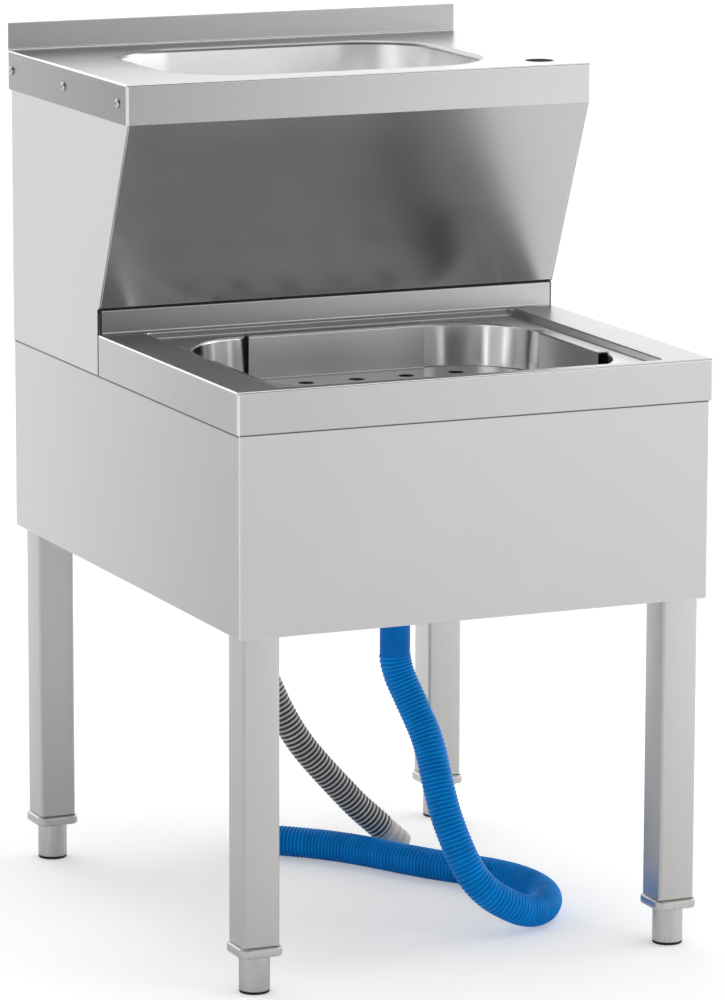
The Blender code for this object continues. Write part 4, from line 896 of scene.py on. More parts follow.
# The mop bowl is drawn from one sheet with the shallow recess and flat ledge that carry the tray.
# A node tree sweeps the wall's section round the mouth; the ledge and floor are lofted on to it.
# It is polished brighter than the tops round it.
BOWL_TONE = (0.82, 0.82, 0.82)
RECESS_DROP = 0.007
RECESS_RUN = 0.008
RECESS_FOLD = 0.0015
LEDGE_SIDE = 0.0105
LEDGE_FRONT = 0.008
LEDGE_BACK = 0.0125
MOP_CORNER = 0.085
MOP_LIP = 0.003
MOP_DRAFT = 0.012
MOP_DEPTH = 0.195
MOP_FLOOR_ROUND = 0.035
FLOOR_FALL = 0.005
DRAIN_RADIUS = 0.026
DRAIN_SEAT = 0.038
DRAIN_STEP = 0.0012
DRAIN_SINK = 0.0006
MOP_DRAIN_SHIFT = 0.013
CORNER_STEPS = 24
ARC_STEPS = 10
LIP_TILT = 0.15
LEVEL_TILT = 0.985


def drawn_wall_tree():
    """A node tree that sweeps a wall's section round a mouth with round corners."""
    tree, given = start_node_tree(
        "drawn wall", "Wall", Geometry=["Section"], Float=["Width", "Length", "Corner", "Centre Y", "Level"],
    )
    size = {"Width": given["Width"], "Height": given["Length"]}
    mouth = output_of(tree, "GeometryNodeCurvePrimitiveQuadrilateral", size)
    corners = {"Curve": mouth, "Count": CORNER_STEPS, "Radius": given["Corner"]}
    rounded = output_of(tree, "GeometryNodeFilletCurve", corners, mode="POLY")
    shift = output_of(tree, "ShaderNodeCombineXYZ", {"Y": given["Centre Y"], "Z": given["Level"]})
    placed = output_of(tree, "GeometryNodeTransform", {"Geometry": rounded, "Translation": shift})
    wall = output_of(tree, "GeometryNodeCurveToMesh", {"Curve": placed, "Profile Curve": given["Section"]})
    return finish_node_tree(tree, wall, given["Material"])


def wall_section(lip, depth, draft, floor_round):
    """Half section of a drawn wall as (inset, drop): round lip, drafted wall, round into the floor."""
    return [
        *((-x, y) for x, y in arc(lip, ARC_STEPS)),
        *((draft + y, depth - x) for x, y in arc(floor_round, ARC_STEPS)),
    ]


def swept_wall(tree, mouth, centre_y, level, section, material):
    """The wall of a bowl as a bmesh; mouth is its half width, half length and corner radius."""
    line = drawn_line("wall section", [(-inset, drop, 0.0) for inset, drop in section])
    wall = grown(
        line, "bowl wall", tree, width=2 * mouth[0], length=2 * mouth[1], corner=mouth[2], centre_y=centre_y,
        level=level, material=material,
    )
    mesh_data = merged_copy(wall.data)
    bpy.data.objects.remove(wall, do_unlink=True)
    return mesh_data


def bridge(mesh_data, outer, inner):
    """Faces between two loops of vertices, point to point."""
    for k, _ in enumerate(outer):
        n = (k + 1) % len(outer)
        mesh_data.faces.new((outer[k], outer[n], inner[n], inner[k]))


def drawn_floor(mesh_data, rim_loop, drain_y, level):
    """A floor that falls from the wall's foot to the seat and edge of the drain hole."""
    outer = rim_loop
    seat = ((DRAIN_SEAT, 0.0), (DRAIN_SEAT - DRAIN_STEP, DRAIN_SINK), (DRAIN_RADIUS, DRAIN_SINK))
    for radius, drop in seat:
        aims = [Vector((vertex.co.x, vertex.co.y - drain_y)).normalized() * radius for vertex in rim_loop]
        inner = [mesh_data.verts.new((aim.x, drain_y + aim.y, level - drop)) for aim in aims]
        bridge(mesh_data, outer, inner)
        outer = inner


def boundary_loop(mesh_data, lowest):
    """Vertices round an open edge of a mesh in order, at its lowest or its highest level."""
    edges = [e for e in mesh_data.edges if e.is_boundary]
    level = (min if lowest else max)(e.verts[0].co.z for e in edges)
    edges = [e for e in edges if abs(e.verts[0].co.z - level) < FIT / 3]
    loop = [edges[0].verts[0]]
    edge = edges[0]
    while True:
        follower = edge.other_vert(loop[-1])
        if follower == loop[0]:
            return loop
        loop.append(follower)
        edge = next(e for e in follower.link_edges if e in edges and e != edge)


def join_loops(mesh_data, outer, inner):
    """Faces between two loops of equal count, matched point to point by the shortest way in all."""
    count = len(outer)
    trials = [
        [inner[(start + sense * k) % count] for k in range(count)]
        for sense in (1, -1) for start in range(count)
    ]
    matched = min(trials, key=lambda loop: sum((a.co - b.co).length for a, b in zip(outer, loop)))
    bridge(mesh_data, outer, matched)


def finish_bowl(name, mesh_data, lip_level, *materials):
    """A bowl of sheet from an open skin, with its lip in the second material and flat ledges in the third."""
    bmesh.ops.recalc_face_normals(mesh_data, faces=mesh_data.faces)
    if sum(face.normal.z * face.calc_area() for face in mesh_data.faces) < 0:
        bmesh.ops.reverse_faces(mesh_data, faces=mesh_data.faces)
    for face in mesh_data.faces:
        if face.normal.z > LIP_TILT and face.calc_center_median().z > lip_level:
            face.material_index = 2 if face.normal.z >= LEVEL_TILT and len(materials) > 2 else 1
    bowl = thicken(finish_mesh(name, mesh_data, *materials), name, LOWER_SHEET)
    bowl.data.set_sharp_from_angle(angle=SMOOTH_ANGLE)
    return bowl


bowl_steel = ground_steel("polished bowl steel", BOWL_TONE, 0.16, (15, 15, 15), 0.01, 0.02, 0.0)
ledge_steel = ground_steel("recess ledge steel", BOWL_TONE, 0.28, (15, 15, 15), 0.01, 0.02, 0.0)
wall_tree = drawn_wall_tree()
ledge_level = lower_level - RECESS_DROP
foot_half_x = recess_half_x - RECESS_RUN
mouth_front = recess_front + RECESS_RUN + LEDGE_FRONT
mouth_back = recess_back - RECESS_RUN - LEDGE_BACK
mop_centre = (0, (mouth_front + mouth_back) / 2)
mop_mouth = (foot_half_x - LEDGE_SIDE, (mouth_back - mouth_front) / 2, MOP_CORNER)
mesh_data = swept_wall(
    wall_tree, mop_mouth, mop_centre[1], ledge_level,
    wall_section(MOP_LIP, MOP_DEPTH - FLOOR_FALL, MOP_DRAFT, MOP_FLOOR_ROUND), bowl_steel,
)
mop_drain_y = mop_centre[1] + MOP_DRAIN_SHIFT
drawn_floor(mesh_data, boundary_loop(mesh_data, True), mop_drain_y, ledge_level - MOP_DEPTH)
lip_loop = boundary_loop(mesh_data, False)
bend = arc(RECESS_FOLD, BEAD_STEPS)
slope = [(RECESS_FOLD - x, y) for x, y in bend]
slope += [(RECESS_RUN - RECESS_FOLD + x, RECESS_DROP - y) for x, y in reversed(bend)]
recess_loops = []
for inset, drop in slope:
    size = (half - inset for half in recess_size)
    recess_loops.append(rounded_points(*size, recess_centre, lower_level - drop, CORNER_STEPS))
made = loft(mesh_data, recess_loops)
join_loops(mesh_data, made[-1], lip_loop)
# The bowl's lip takes the painted highlight steel.
mop_bowl = finish_bowl(
    "drawn_mop_bowl", mesh_data, ledge_level - MOP_LIP, bowl_steel, highlight_steel, ledge_steel,
)
install(mop_bowl, "sink", "polished_steel", "mop_bowl")

# The strainer tray lifts out: a plate with rows of round holes and four bent-up flaps.
# Three flaps end in a hook that rests on the ledge; the left one is plain.
TRAY_CLEARANCE = 0.0085
TRAY_CORNER = 0.074
TRAY_DROP = 0.043
TRAY_HOOK = 0.013
TRAY_PLAIN_DROP = 0.004
TRAY_LONG_FLAP = (-0.101, 0.090)
TRAY_SIDE_FLAP = (-0.0765, 0.0545)
TRAY_BEND = 0.0022
TRAY_EDGE = 0.0003
TRAY_HOLE_RADIUS = 0.008
TRAY_HOLE_PITCH = 0.0545
TRAY_HOLE_COUNT = 5
TRAY_TONE = (0.60, 0.60, 0.60)


def perforation_tree():
    """A node tree that cuts an even grid of round holes through a plate."""
    tree, given = start_node_tree(
        "perforation", "Sheet", Geometry=["Plate"], Int=["Count"],
        Float=["Pitch", "Hole radius", "Centre Y", "Level", "Depth"],
    )
    count = given["Count"]
    span = calculate(tree, "MULTIPLY", given["Pitch"], calculate(tree, "SUBTRACT", count, 1.0))
    size = {"Size X": span, "Size Y": span, "Vertices X": count, "Vertices Y": count}
    grid = output_of(tree, "GeometryNodeMeshGrid", size)
    shift = output_of(tree, "ShaderNodeCombineXYZ", {"Y": given["Centre Y"], "Z": given["Level"]})
    places = output_of(tree, "GeometryNodeTransform", {"Geometry": grid, "Translation": shift})
    size = {"Vertices": CUFF_SIDES, "Radius": given["Hole radius"], "Depth": given["Depth"]}
    punch = output_of(tree, "GeometryNodeMeshCylinder", size)
    punches = output_of(tree, "GeometryNodeInstanceOnPoints", {"Points": places, "Instance": punch})
    tools = output_of(tree, "GeometryNodeRealizeInstances", {"Geometry": punches})
    cut = output_of(
        tree, "GeometryNodeMeshBoolean", {"Mesh 1": given["Plate"], "Mesh 2": tools}, operation="DIFFERENCE",
        solver="EXACT",
    )
    return finish_node_tree(tree, cut, given["Material"])


def flap_outline(height, hook):
    """Section of a flap as (outward, up): bent up from the plate, then out into its hook."""
    thick = LOWER_SHEET
    outer = arc(TRAY_BEND, FOLD_STEPS)
    inner = arc(TRAY_BEND - thick, FOLD_STEPS)
    path_out = [(-TRAY_BEND * 2, 0.0), *((-x, y) for x, y in outer)]
    path_in = [(-TRAY_BEND * 2, thick), *((-thick - x, thick + y) for x, y in inner)]
    if not hook:
        return [*path_out, (0.0, height), (-thick, height), *reversed(path_in)]
    under = [(y, height - thick - x) for x, y in inner]
    over = [(y - thick, height - x) for x, y in outer]
    end = hook - thick
    return [*path_out, *under, (end, height - thick), (end, height), *reversed(over), *reversed(path_in)]


tray_steel = ground_steel("tray steel", TRAY_TONE, 0.30, FRONT_GRAIN)
tray_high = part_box("strainer_tray")[1]
wall_x = mop_mouth[0] - TRAY_CLEARANCE
wall_y = mop_mouth[1] - TRAY_CLEARANCE
base_top = ledge_level - TRAY_DROP
plate_size = (wall_x - LOWER_SHEET / 2, wall_y - LOWER_SHEET / 2, TRAY_CORNER)
plate_low = LOWER_SHEET - TRAY_EDGE
plate_loops = []
for inset, drop in ((TRAY_EDGE, 0.0), (0.0, TRAY_EDGE), (0.0, plate_low), (TRAY_EDGE, LOWER_SHEET)):
    size = (half - inset for half in plate_size)
    plate_loops.append(rounded_points(*size, mop_centre, base_top - drop, CORNER_STEPS))
mesh_data = bmesh.new()
made = loft(mesh_data, plate_loops)
mesh_data.faces.new(made[0])
mesh_data.faces.new(reversed(made[-1]))
plate = grown(
    finish_mesh("tray_plate", mesh_data), "tray_plate", perforation_tree(), pitch=TRAY_HOLE_PITCH,
    hole_radius=TRAY_HOLE_RADIUS, centre_y=mop_centre[1], level=base_top, depth=2 * OVERRUN,
    count=TRAY_HOLE_COUNT, material=tray_steel,
)
mesh_data = bmesh.new()
mesh_data.from_mesh(plate.data)
bpy.data.objects.remove(plate, do_unlink=True)
flaps = (
    (TRAY_LONG_FLAP, wall_y, 0, True), (TRAY_SIDE_FLAP, wall_x, 1, False),
    ((-TRAY_LONG_FLAP[1], -TRAY_LONG_FLAP[0]), wall_y, 2, True),
    ((-TRAY_SIDE_FLAP[1], -TRAY_SIDE_FLAP[0]), wall_x, 3, True),
)
for (start, end), reach, quarters, hook in flaps:
    rise = tray_high.z - base_top if hook else TRAY_DROP - TRAY_PLAIN_DROP
    outline = flap_outline(rise + LOWER_SHEET, TRAY_HOOK if hook else 0.0)
    spin = Matrix.Rotation(quarters * math.pi / 2, 4, "Z") @ Matrix.Translation((0, reach, 0))
    shift = Matrix.Translation((0, mop_centre[1], base_top - LOWER_SHEET))
    extrude_outline(mesh_data, outline, shift @ spin, start, end)
tray = finish_mesh("perforated_tray", mesh_data, tray_steel, highlight_steel)
install(tray, "tray", "satin_steel", "strainer_tray")

# Each basin's waste: a perforated strainer with its screw, a rubber washer, a body and a lock nut.
# The strainer shows through the basin; the rest hangs under it.
WASTE_SIDES = 64
WASTE_WHITE = (0.62, 0.62, 0.60)
WASTE_SHADE = (0.56, 0.56, 0.53)
NUT_GRIPS = 24
NUT_GRIP_DEPTH = 0.0016
NUT_BORE = 0.0293
NUT_EDGE = 0.001
WASHER_EDGE = 0.0008
BODY_FLANGE = (0.036, 0.003)
BODY_BORE = 0.027
BODY_WALL = 0.002
BODY_CUP = 0.022
BODY_CONE = 0.014
BODY_TAIL_BORE = 0.0105
BODY_EDGE = 0.0009
STRAINER_HEAD = 0.0015
STRAINER_DISH = (0.021, 0.0008)
STRAINER_RIM = (0.0245, 0.032)
STRAINER_LIP = 0.0002
STRAINER_WALL = 0.0012
STRAINER_EDGE = 0.0006
STRAINER_HOLE_CIRCLES = ((6, 0.0105, 0.0026), (12, 0.0195, 0.0026))
HOLE_SIDES = 20
DRAIN_SCREW_RADIUS = 0.005
DRAIN_SCREW_CROWN = (0.0035, 0.0012)
DRAIN_SCREW_SINK = 0.001
DRAIN_SCREW_EDGE = 0.0004
DRAIN_SCREW_SLOT = (0.006, 0.0006, 0.0008)
REACH_SHARE = 0.4

waste_plastic, tree, shader, place = start_material("waste plastic")
mottle = noise(tree, place, 60.0, 3.0)
mottled = blend_colours(tree, vary(tree, mottle, 0.0, 1.0), WASTE_WHITE, WASTE_SHADE)
tree.links.new(mottled, shader.inputs["Base Color"])
tree.links.new(vary(tree, mottle, 0.38, 0.46), shader.inputs["Roughness"])
roughen(tree, shader, noise(tree, place, 700.0), 0.12, 0.0002)


def round_profile(profile, size, steps=3):
    """Round each corner of a closed half section that lies off the axis."""
    rounded = []
    count = len(profile)
    for k in range(count):
        here = Vector(profile[k])
        before = Vector(profile[k - 1])
        after = Vector(profile[(k + 1) % count])
        if here.x == 0:
            rounded.append(tuple(here))
            continue
        reach = min(size, (before - here).length * REACH_SHARE, (after - here).length * REACH_SHARE)
        first = here + (before - here).normalized() * reach
        last = here + (after - here).normalized() * reach
        for step in range(steps + 1):
            t = step / steps
            rounded.append(tuple(first * (1 - t) ** 2 + here * 2 * t * (1 - t) + last * t**2))
    return rounded


def gripped_nut(name, low, high, radius, place, material):
    """A lock nut with grip ribs round its outside."""
    count = NUT_GRIPS * 6
    turns = [2 * math.pi * k / count for k in range(count)]
    outer = [radius - NUT_GRIP_DEPTH * max(0.0, math.cos(NUT_GRIPS * a)) ** 2 for a in turns]
    rings = [
        ([r - inset for r in outer], level)
        for inset, level in ((NUT_EDGE, high), (0.0, high - NUT_EDGE), (0.0, low + NUT_EDGE), (NUT_EDGE, low))
    ]
    rings += [([NUT_BORE] * count, level) for level in (low, high)]
    loops = [
        [(place[0] + r * math.cos(a), place[1] + r * math.sin(a), level) for a, r in zip(turns, ring)]
        for ring, level in rings
    ]
    mesh_data = bmesh.new()
    loft(mesh_data, loops, ring=True)
    return finish_mesh(name, mesh_data, material)


def punch(mesh_data, spot, radius, sides):
    """A round bar that reaches through a sheet, to cut a hole with."""
    bmesh.ops.create_cone(
        mesh_data, cap_ends=True, segments=sides, radius1=radius, radius2=radius, depth=2 * OVERRUN,
        matrix=Matrix.Translation(spot),
    )


for prefix in ("mop", "hand"):
    low, high, middle, half = box_of(f"{prefix}_waste_nut")
    drain_y = middle.y
    place = (0, drain_y, 0)
    nut = gripped_nut(f"{prefix}_lock_nut", low.z, high.z, half, place, waste_plastic)
    install(nut, "sink", "white_plastic", f"{prefix}_waste_nut")

    low, high, _, half = box_of(f"{prefix}_waste_washer")
    bore = DRAIN_RADIUS + FIT
    profile = round_profile([(bore, high.z), (bore, low.z), (half, low.z), (half, high.z)], WASHER_EDGE)
    washer = turned_mesh(f"{prefix}_rubber_washer", profile, WASTE_SIDES, place, rubber_and_shade_black)
    install(washer, "sink", "black_rubber", f"{prefix}_waste_washer")

    low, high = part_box(f"{prefix}_waste_body")
    flange_radius, flange_thick = BODY_FLANGE
    cup = high.z - BODY_CUP
    cone = cup - BODY_CONE
    profile = [
        (flange_radius, high.z), (BODY_BORE, high.z), (BODY_BORE, cup), (BODY_TAIL_BORE, cone),
        (BODY_TAIL_BORE, low.z), (BODY_TAIL_BORE + BODY_WALL, low.z), (BODY_TAIL_BORE + BODY_WALL, cone),
        (BODY_BORE + BODY_WALL, cup), (BODY_BORE + BODY_WALL, high.z - flange_thick),
        (flange_radius, high.z - flange_thick),
    ]
    profile = round_profile(profile, BODY_EDGE)
    body = turned_mesh(f"{prefix}_waste_cup", profile, WASTE_SIDES, place, waste_plastic)
    install(body, "sink", "white_plastic", f"{prefix}_waste_body")

    low, high, _, half = box_of(f"{prefix}_waste_strainer")
    rim_top = high.z - STRAINER_HEAD
    plate_low = rim_top - LOWER_SHEET
    dish_low = plate_low - STRAINER_WALL
    dish_radius, dish_drop = STRAINER_DISH
    spigot = DRAIN_RADIUS - FIT
    profile = [
        (0, rim_top - dish_drop), (dish_radius, rim_top - dish_drop), *((r, rim_top) for r in STRAINER_RIM),
        (half, plate_low + STRAINER_LIP), (half, plate_low), (spigot, plate_low), (spigot, low.z),
        (spigot - STRAINER_WALL, low.z), (spigot - STRAINER_WALL, dish_low), (0, dish_low),
    ]
    profile = round_profile(profile, STRAINER_EDGE)
    name = f"{prefix}_strainer_plate"
    strainer = turned_mesh(name, profile, WASTE_SIDES, place, bowl_steel)
    mesh_data = bmesh.new()
    for count, circle, radius in STRAINER_HOLE_CIRCLES:
        for k in range(count):
            angle = 2 * math.pi * k / count
            spot = (circle * math.cos(angle), drain_y + circle * math.sin(angle), dish_low)
            punch(mesh_data, spot, radius, HOLE_SIDES)
    strainer = cut_away(strainer, name, finish_mesh("punches", mesh_data))
    install(strainer, "sink", "polished_steel", f"{prefix}_waste_strainer")

    crown, crown_drop = DRAIN_SCREW_CROWN
    slot_x, slot_y, slot_deep = DRAIN_SCREW_SLOT
    foot = rim_top - DRAIN_SCREW_SINK
    slot_cut = box_piece(
        "slot", (-slot_x, drain_y - slot_y, high.z - slot_deep), (slot_x, drain_y + slot_y, high.z + OVERRUN),
    )
    profile = round_profile([
        (0, high.z), (crown, high.z), (DRAIN_SCREW_RADIUS, high.z - crown_drop), (DRAIN_SCREW_RADIUS, foot),
        (0, foot),
    ], DRAIN_SCREW_EDGE)
    screw = turned_mesh(f"{prefix}_strainer_screw", profile, CUFF_SIDES, place, bowl_steel)
    screw = cut_away(screw, f"{prefix}_strainer_screw", slot_cut)
    install(screw, "sink", "polished_steel")

# The upper cabinet: two tapered side panels, a sloping panel between them and a rail at the back.
# A dark strip fills the joint under the sloping panel; a short black one at each end of the low upstand is
# painted shade.
FLANK_TONE = (0.70, 0.70, 0.70)
SIDE_LEG_GAP = 0.002
FLAT_FACING = 0.9
STRIP_HANG = 0.003
STRIP_ROUND = 0.0008
CORNER_SHADE_STRIP = 0.0016

slope_steel = ground_steel("sloping panel steel", PANEL_TONE, 0.24, FRONT_GRAIN)
flank_steel = ground_steel("cabinet side steel", FLANK_TONE, 0.30, SIDE_GRAIN, along=(0, 1, 0))
dressed_sheet("upper_front_panel", "sloping_panel", slope_steel)
slope_low, slope_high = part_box("upper_front_panel")
leg_front = lower_high.y + SIDE_LEG_GAP + SHEET_EDGE
for side in ("left", "right"):
    flank = dressed_sheet(f"upper_side_{side}", f"{side}_cabinet_side", flank_steel)
    # Painted shade: the side panel's edge faces by the legs are painted black.
    flank.data.materials.append(rubber_and_shade_black)
    for face in flank.data.polygons:
        at_leg = face.center.z < slope_low.z and face.center.y < leg_front
        if at_leg and abs(face.normal.x) < FLAT_FACING:
            face.material_index = 2
joint_strip = box_piece(
    "joint_seal", (-slope_high.x, lower_high.y + FIT, lower_high.z - STRIP_HANG),
    (slope_high.x, slope_high.y - STRIP_HANG, slope_low.z), rubber_and_shade_black,
)
joint_strip = round_the_edges(joint_strip, "joint_seal", STRIP_ROUND)
install(joint_strip, "sink", "black_rubber")
seal_x = lower_high.x - UPSTAND_END
for side, side_name in ((-1, "left"), (1, "right")):
    near, far = sorted((side * seal_x, side * (seal_x + CORNER_SHADE_STRIP)))
    corner_shade_strip = box_piece(
        f"{side_name}_corner_seal", (near, upstand_y + FIT, lower_level), (far, lower_high.y, lower_high.z),
        rubber_and_shade_black,
    )
    install(corner_shade_strip, "sink", "black_rubber")
dressed_sheet("upper_back_rail", "cabinet_back_rail", slope_steel)

# The hand basin is drawn like the mop bowl.
# Its wide soft rim sits flush in the upper top.
HAND_HALF_WIDTH = 0.171
HAND_HALF_LENGTH = 0.121
HAND_CORNER = 0.078
HAND_LIP = 0.005
HAND_DRAFT = 0.012
HAND_DEPTH = 0.130
HAND_FLOOR_ROUND = 0.030
HAND_TONE = (0.90, 0.90, 0.90)
RIM_SHADED_TONE = (0.48, 0.48, 0.48)
APRON_FOOT = 0.040

upper_low, upper_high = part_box("upper_top")
upper_level = upper_low.z + APRON_FOOT
hand_centre = box_of("hand_basin")[2]
hand_steel = ground_steel("pressed basin steel", HAND_TONE, 0.28, (15, 15, 15), 0.01, 0.02, 0.0)
# The basin's rim takes a darker copy of the basin's steel: painted shade.
rim_shaded_steel = ground_steel("basin rim steel", RIM_SHADED_TONE, 0.30, (15, 15, 15), brushed=0.0)
hand_mouth = (HAND_HALF_WIDTH, HAND_HALF_LENGTH, HAND_CORNER)
mesh_data = swept_wall(
    wall_tree, hand_mouth, hand_centre.y, upper_level,
    wall_section(HAND_LIP, HAND_DEPTH - FLOOR_FALL, HAND_DRAFT, HAND_FLOOR_ROUND), hand_steel,
)
drawn_floor(mesh_data, boundary_loop(mesh_data, True), hand_centre.y, upper_level - HAND_DEPTH)
hand_basin = finish_bowl("drawn_hand_basin", mesh_data, upper_level - HAND_LIP, hand_steel, rim_shaded_steel)
install(hand_basin, "sink", "polished_steel", "hand_basin")

# The upper top is one folded sheet with aprons all round and a tap hole.
# A splash upstand runs along its back.
SPLASH_RISE = 0.028
SPLASH_THICK = 0.0021
UPPER_CORNER = 0.0024
UPPER_TONE = (0.66, 0.66, 0.66)
TAP_PLACE = (0.212, 0.0135)
TAP_RADIUS = 0.0145

# The upper top's aprons are painted darker than its top, and the whole sheet lighter towards the right:
# painted shade and light.
upper_steel = ground_steel(
    "upper top steel", UPPER_TONE, 0.28, FRONT_GRAIN, apron_painted_shades=(0.56, 0.66), light_ramp=("X", 0.86, 1.18),
)
hole = (*(size + HAND_LIP + FIT for size in hand_mouth), hand_centre)
upper_top = folded_top("upper_deck", upper_low, upper_high, UPPER_CORNER, upper_level, hole, upper_steel)
mesh_data = bmesh.new()
punch(mesh_data, (*TAP_PLACE, upper_level), TAP_RADIUS, WASTE_SIDES)
upper_top = cut_away(upper_top, "upper_deck", finish_mesh("tap punch", mesh_data))
install(upper_top, "sink", "satin_steel", "upper_top")
upstand_strip(
    "splash_upstand", upper_high.x - FIT, upper_high.y - FIT, SPLASH_THICK, upper_level, SPLASH_RISE,
    upper_steel,
)

# Six pan-head screws hold the aprons to the side panels, three a side.
# Each has a cross recess that stands at a turn of its own.
SCREW_SIDES = 32
SCREW_TONE = (0.62, 0.62, 0.62)
SCREW_SHANK = 0.0024
SCREW_DOME = ((0.35, 0.98), (0.7, 0.85), (0.93, 0.55), (1.0, 0.25))
CROSS_ARM = 0.0024
CROSS_WIDTH = 0.0009
CROSS_DEPTH = 0.0011
SCREW_TURN_SEED = 3

screw_steel = ground_steel("screw steel", SCREW_TONE, 0.16, (300, 300, 300), brushed=0.0)


def screw_tree():
    """A node tree that sets a screw on each point of a line of places."""
    tree, given = start_node_tree("screws", "Screws", Geometry=["Places"], Object=["Screw"], Float=["Turn"])
    screw = output_of(tree, "GeometryNodeObjectInfo", {"Object": given["Screw"]}, "Geometry")
    span = {"Min": 0.0, "Max": math.pi, "Seed": SCREW_TURN_SEED}
    twist = output_of(tree, "FunctionNodeRandomValue", span, 1, data_type="FLOAT")
    lean = output_of(tree, "ShaderNodeCombineXYZ", {"Y": given["Turn"]})
    spun = output_of(tree, "ShaderNodeCombineXYZ", {"Z": twist})
    face_out = output_of(tree, "FunctionNodeEulerToRotation", {0: lean})
    own_turn = output_of(tree, "FunctionNodeEulerToRotation", {0: spun})
    turns = {"Rotation": face_out, "Rotate By": own_turn}
    turn = output_of(tree, "FunctionNodeRotateRotation", turns, rotation_space="LOCAL")
    setting = {"Points": given["Places"], "Instance": screw, "Rotation": turn}
    return finish_node_tree(tree, output_of(tree, "GeometryNodeInstanceOnPoints", setting), given["Material"])


low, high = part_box("apron_screw_left_1")
head_radius = (high.z - low.z) / 2
head_rise = -upper_high.x - low.x
shank = high.x + upper_high.x
profile = [
    (0, head_rise), *((head_radius * out, head_rise * up) for out, up in SCREW_DOME), (head_radius, FIT),
    (SCREW_SHANK, FIT), (SCREW_SHANK, -shank), (0, -shank),
]
pattern = turned_mesh("screw pattern", profile, SCREW_SIDES, (0, 0, 0))
for x, y in ((CROSS_ARM, CROSS_WIDTH / 2), (CROSS_WIDTH / 2, CROSS_ARM)):
    cross = box_piece("cross", (-x, -y, head_rise - CROSS_DEPTH), (x, y, head_rise + OVERRUN))
    pattern = cut_away(pattern, "screw pattern", cross)
screws_tree = screw_tree()
for side, side_name in ((-1, "left"), (1, "right")):
    mesh_data = bmesh.new()
    nodes = [f"apron_screw_{side_name}_{number}" for number in (1, 2, 3)]
    for node_name in nodes:
        middle = box_of(node_name)[2]
        mesh_data.verts.new((side * upper_high.x, middle.y, middle.z))
    places = finish_mesh(f"{side_name}_screw_places", mesh_data)
    row = grown(
        places, f"{side_name}_apron_screws", screws_tree, screw=pattern, turn=side * math.pi / 2,
        material=screw_steel,
    )
    install(row, "sink", "screw_steel", *nodes)
bpy.data.objects.remove(pattern, do_unlink=True)

# The studio: a white floor, a bright band of wall all round, a dim upper room with soft boxes, a front
# lamp and a faint overhead one. The floor keeps the sink's shadow; its own glow lifts it to white in
# the picture, and for mirrored rays that glow varies from side to side.
FLOOR_SIZE = 60.0
FLOOR_COLOUR = (0.92, 0.92, 0.92)
FLOOR_ROUGHNESS = 0.9
FLOOR_GLOW = 0.34
FRONT_REACH = (-1.8, -1.2)
FRONT_RISE = (0.30, 0.60)
FRONT_FALL = (0.70, 1.0)
FRONT_GLOW = (0.50, 1.45)
BACK_RISE = (-0.60, -0.30)
BACK_GLOW = (0.20, 1.00)
LEAST_AWAY = 0.1
NEAR_GLOW = 0.35
NEAR_FLOOR = 0.7
FAR_FLOOR = 1.4
ROOM_DIM = 0.28
WALL_LIGHT = 1.14
WALL_TOP = (0.18, 0.42)
TURN_AHEAD = (-0.3, 0.3)
TURN_RIGHT = (0.28, 0.50)
SHADE_AHEAD = (0.40, 1.35)
SHADE_BEHIND = (1.0, 1.30)
SOFT_BOXES = (
    ((-0.10, 0.90, 0.43), 0.78, 0.96, 1.5), ((0.0, 0.0, 1.0), 0.82, 0.95, 1.9),
    ((-0.85, -0.50, 0.12), 0.93, 0.985, 2.8), ((0.97, 0.05, 0.20), 0.90, 0.97, 1.9),
)
FRONT_LAMP_PLACE = (3.6, -4.6, 2.2)
FRONT_LAMP_SIZE = 2.0
FRONT_LAMP_POWER = 52.0
TOP_LAMP_AIM = (-0.10, 0.25, -1.0)
TOP_LAMP_SPREAD = 0.5
TOP_LAMP_POWER = 0.3


def hang_lamp(name, kind, power):
    """A lamp that lights the floor but isn't mirrored in the steel, with its object."""
    lamp = bpy.data.lights.new(name, kind)
    lamp.energy = power
    item = bpy.data.objects.new(name, lamp)
    item.visible_glossy = False
    bpy.context.scene.collection.objects.link(item)
    return lamp, item


floor_paint, tree, shader, place = start_material("studio floor")
shader.inputs["Roughness"].default_value = FLOOR_ROUGHNESS
shader.inputs["Specular IOR Level"].default_value = 0.0
shader.inputs["Base Color"].default_value = (*FLOOR_COLOUR, 1.0)
shader.inputs["Emission Color"].default_value = (1, 1, 1, 1)
spot = axes(tree, place)
away = calculate(tree, "MAXIMUM", calculate(tree, "ABSOLUTE", spot["Y"]), LEAST_AWAY)
slant = calculate(tree, "DIVIDE", spot["X"], away)
in_front = spread(tree, spot["Y"], *FRONT_REACH, 1.0, 0.0)
front_glow = calculate(
    tree, "MINIMUM", spread(tree, slant, *FRONT_RISE, *FRONT_GLOW),
    spread(tree, slant, *FRONT_FALL, *reversed(FRONT_GLOW)),
)
glow = blend_numbers(tree, in_front, spread(tree, slant, *BACK_RISE, *BACK_GLOW), front_glow)
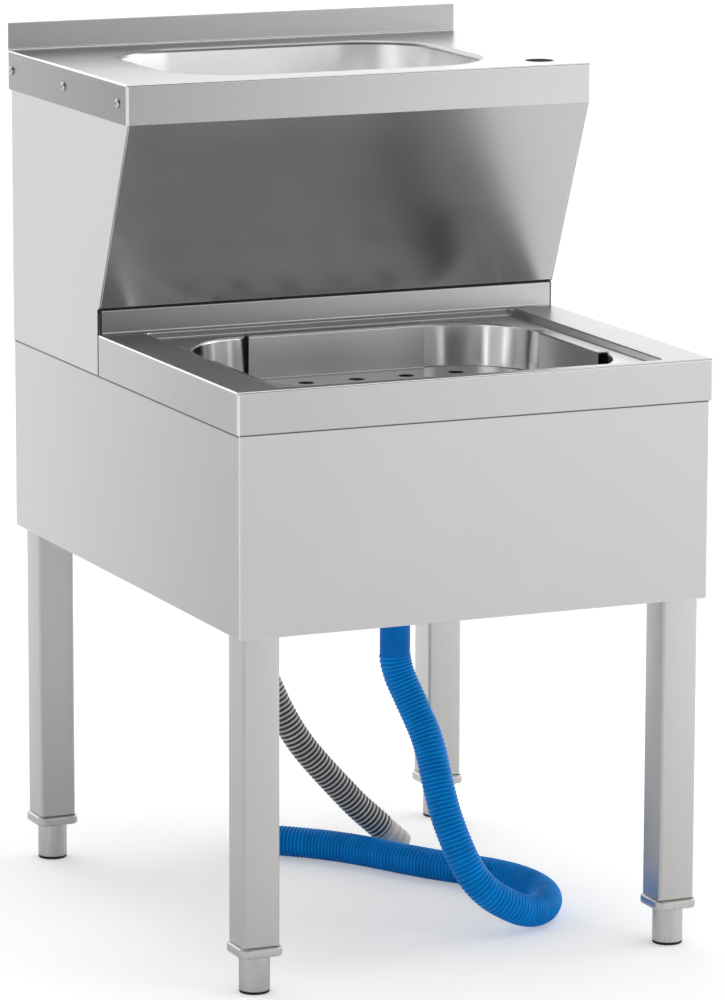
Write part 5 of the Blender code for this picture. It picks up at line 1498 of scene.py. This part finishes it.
# For mirrored rays the glow is dimmer near the sink: a painted shade round it.
reach = output_of(tree, "ShaderNodeVectorMath", {0: place}, "Value", operation="LENGTH")
glow = calculate(tree, "MULTIPLY", glow, spread(tree, reach, NEAR_FLOOR, FAR_FLOOR, NEAR_GLOW, 1.0))
paths = add_node(tree, "ShaderNodeLightPath").outputs
mirrored = calculate(tree, "MULTIPLY", paths["Is Glossy Ray"], glow)
seen = calculate(tree, "MAXIMUM", paths["Is Camera Ray"], mirrored)
tree.links.new(calculate(tree, "MULTIPLY", seen, FLOOR_GLOW), shader.inputs["Emission Strength"])
mesh_data = bmesh.new()
bmesh.ops.create_grid(mesh_data, x_segments=1, y_segments=1, size=FLOOR_SIZE / 2)
floor = finish_mesh("studio_floor", mesh_data, floor_paint)

world = bpy.data.worlds.new("studio")
world.use_nodes = True
bpy.context.scene.world = world
tree = world.node_tree
background = tree.nodes["Background"]
background.inputs["Color"].default_value = (1, 1, 1, 1)
direction = output_of(tree, "ShaderNodeTexCoord", output="Generated")
parts = axes(tree, direction)
light = spread(tree, parts["Z"], *WALL_TOP, WALL_LIGHT, ROOM_DIM)
for aim, edge, core, power in SOFT_BOXES:
    inputs = {0: direction, 1: Vector(aim).normalized()}
    facing = output_of(tree, "ShaderNodeVectorMath", inputs, "Value", operation="DOT_PRODUCT")
    light = calculate(tree, "MAXIMUM", light, spread(tree, facing, edge, core, ROOM_DIM, power))
ahead = spread(tree, parts["Y"], *TURN_AHEAD, 1.0, 0.0)
rightward = spread(tree, parts["X"], *TURN_RIGHT, *SHADE_AHEAD)
behind = spread(tree, parts["X"], *TURN_RIGHT, *SHADE_BEHIND)
shade = blend_numbers(tree, ahead, behind, rightward)
tree.links.new(calculate(tree, "MULTIPLY", light, shade), background.inputs["Strength"])

front_lamp, front_right = hang_lamp("front right", "AREA", FRONT_LAMP_POWER)
front_lamp.size = FRONT_LAMP_SIZE
front_right.location = FRONT_LAMP_PLACE
top_lamp, overhead = hang_lamp("overhead", "SUN", TOP_LAMP_POWER)
top_lamp.angle = TOP_LAMP_SPREAD
overhead.rotation_euler = Vector(TOP_LAMP_AIM).to_track_quat("-Z", "Y").to_euler()
bpy.context.scene.view_settings.view_transform = "Standard"
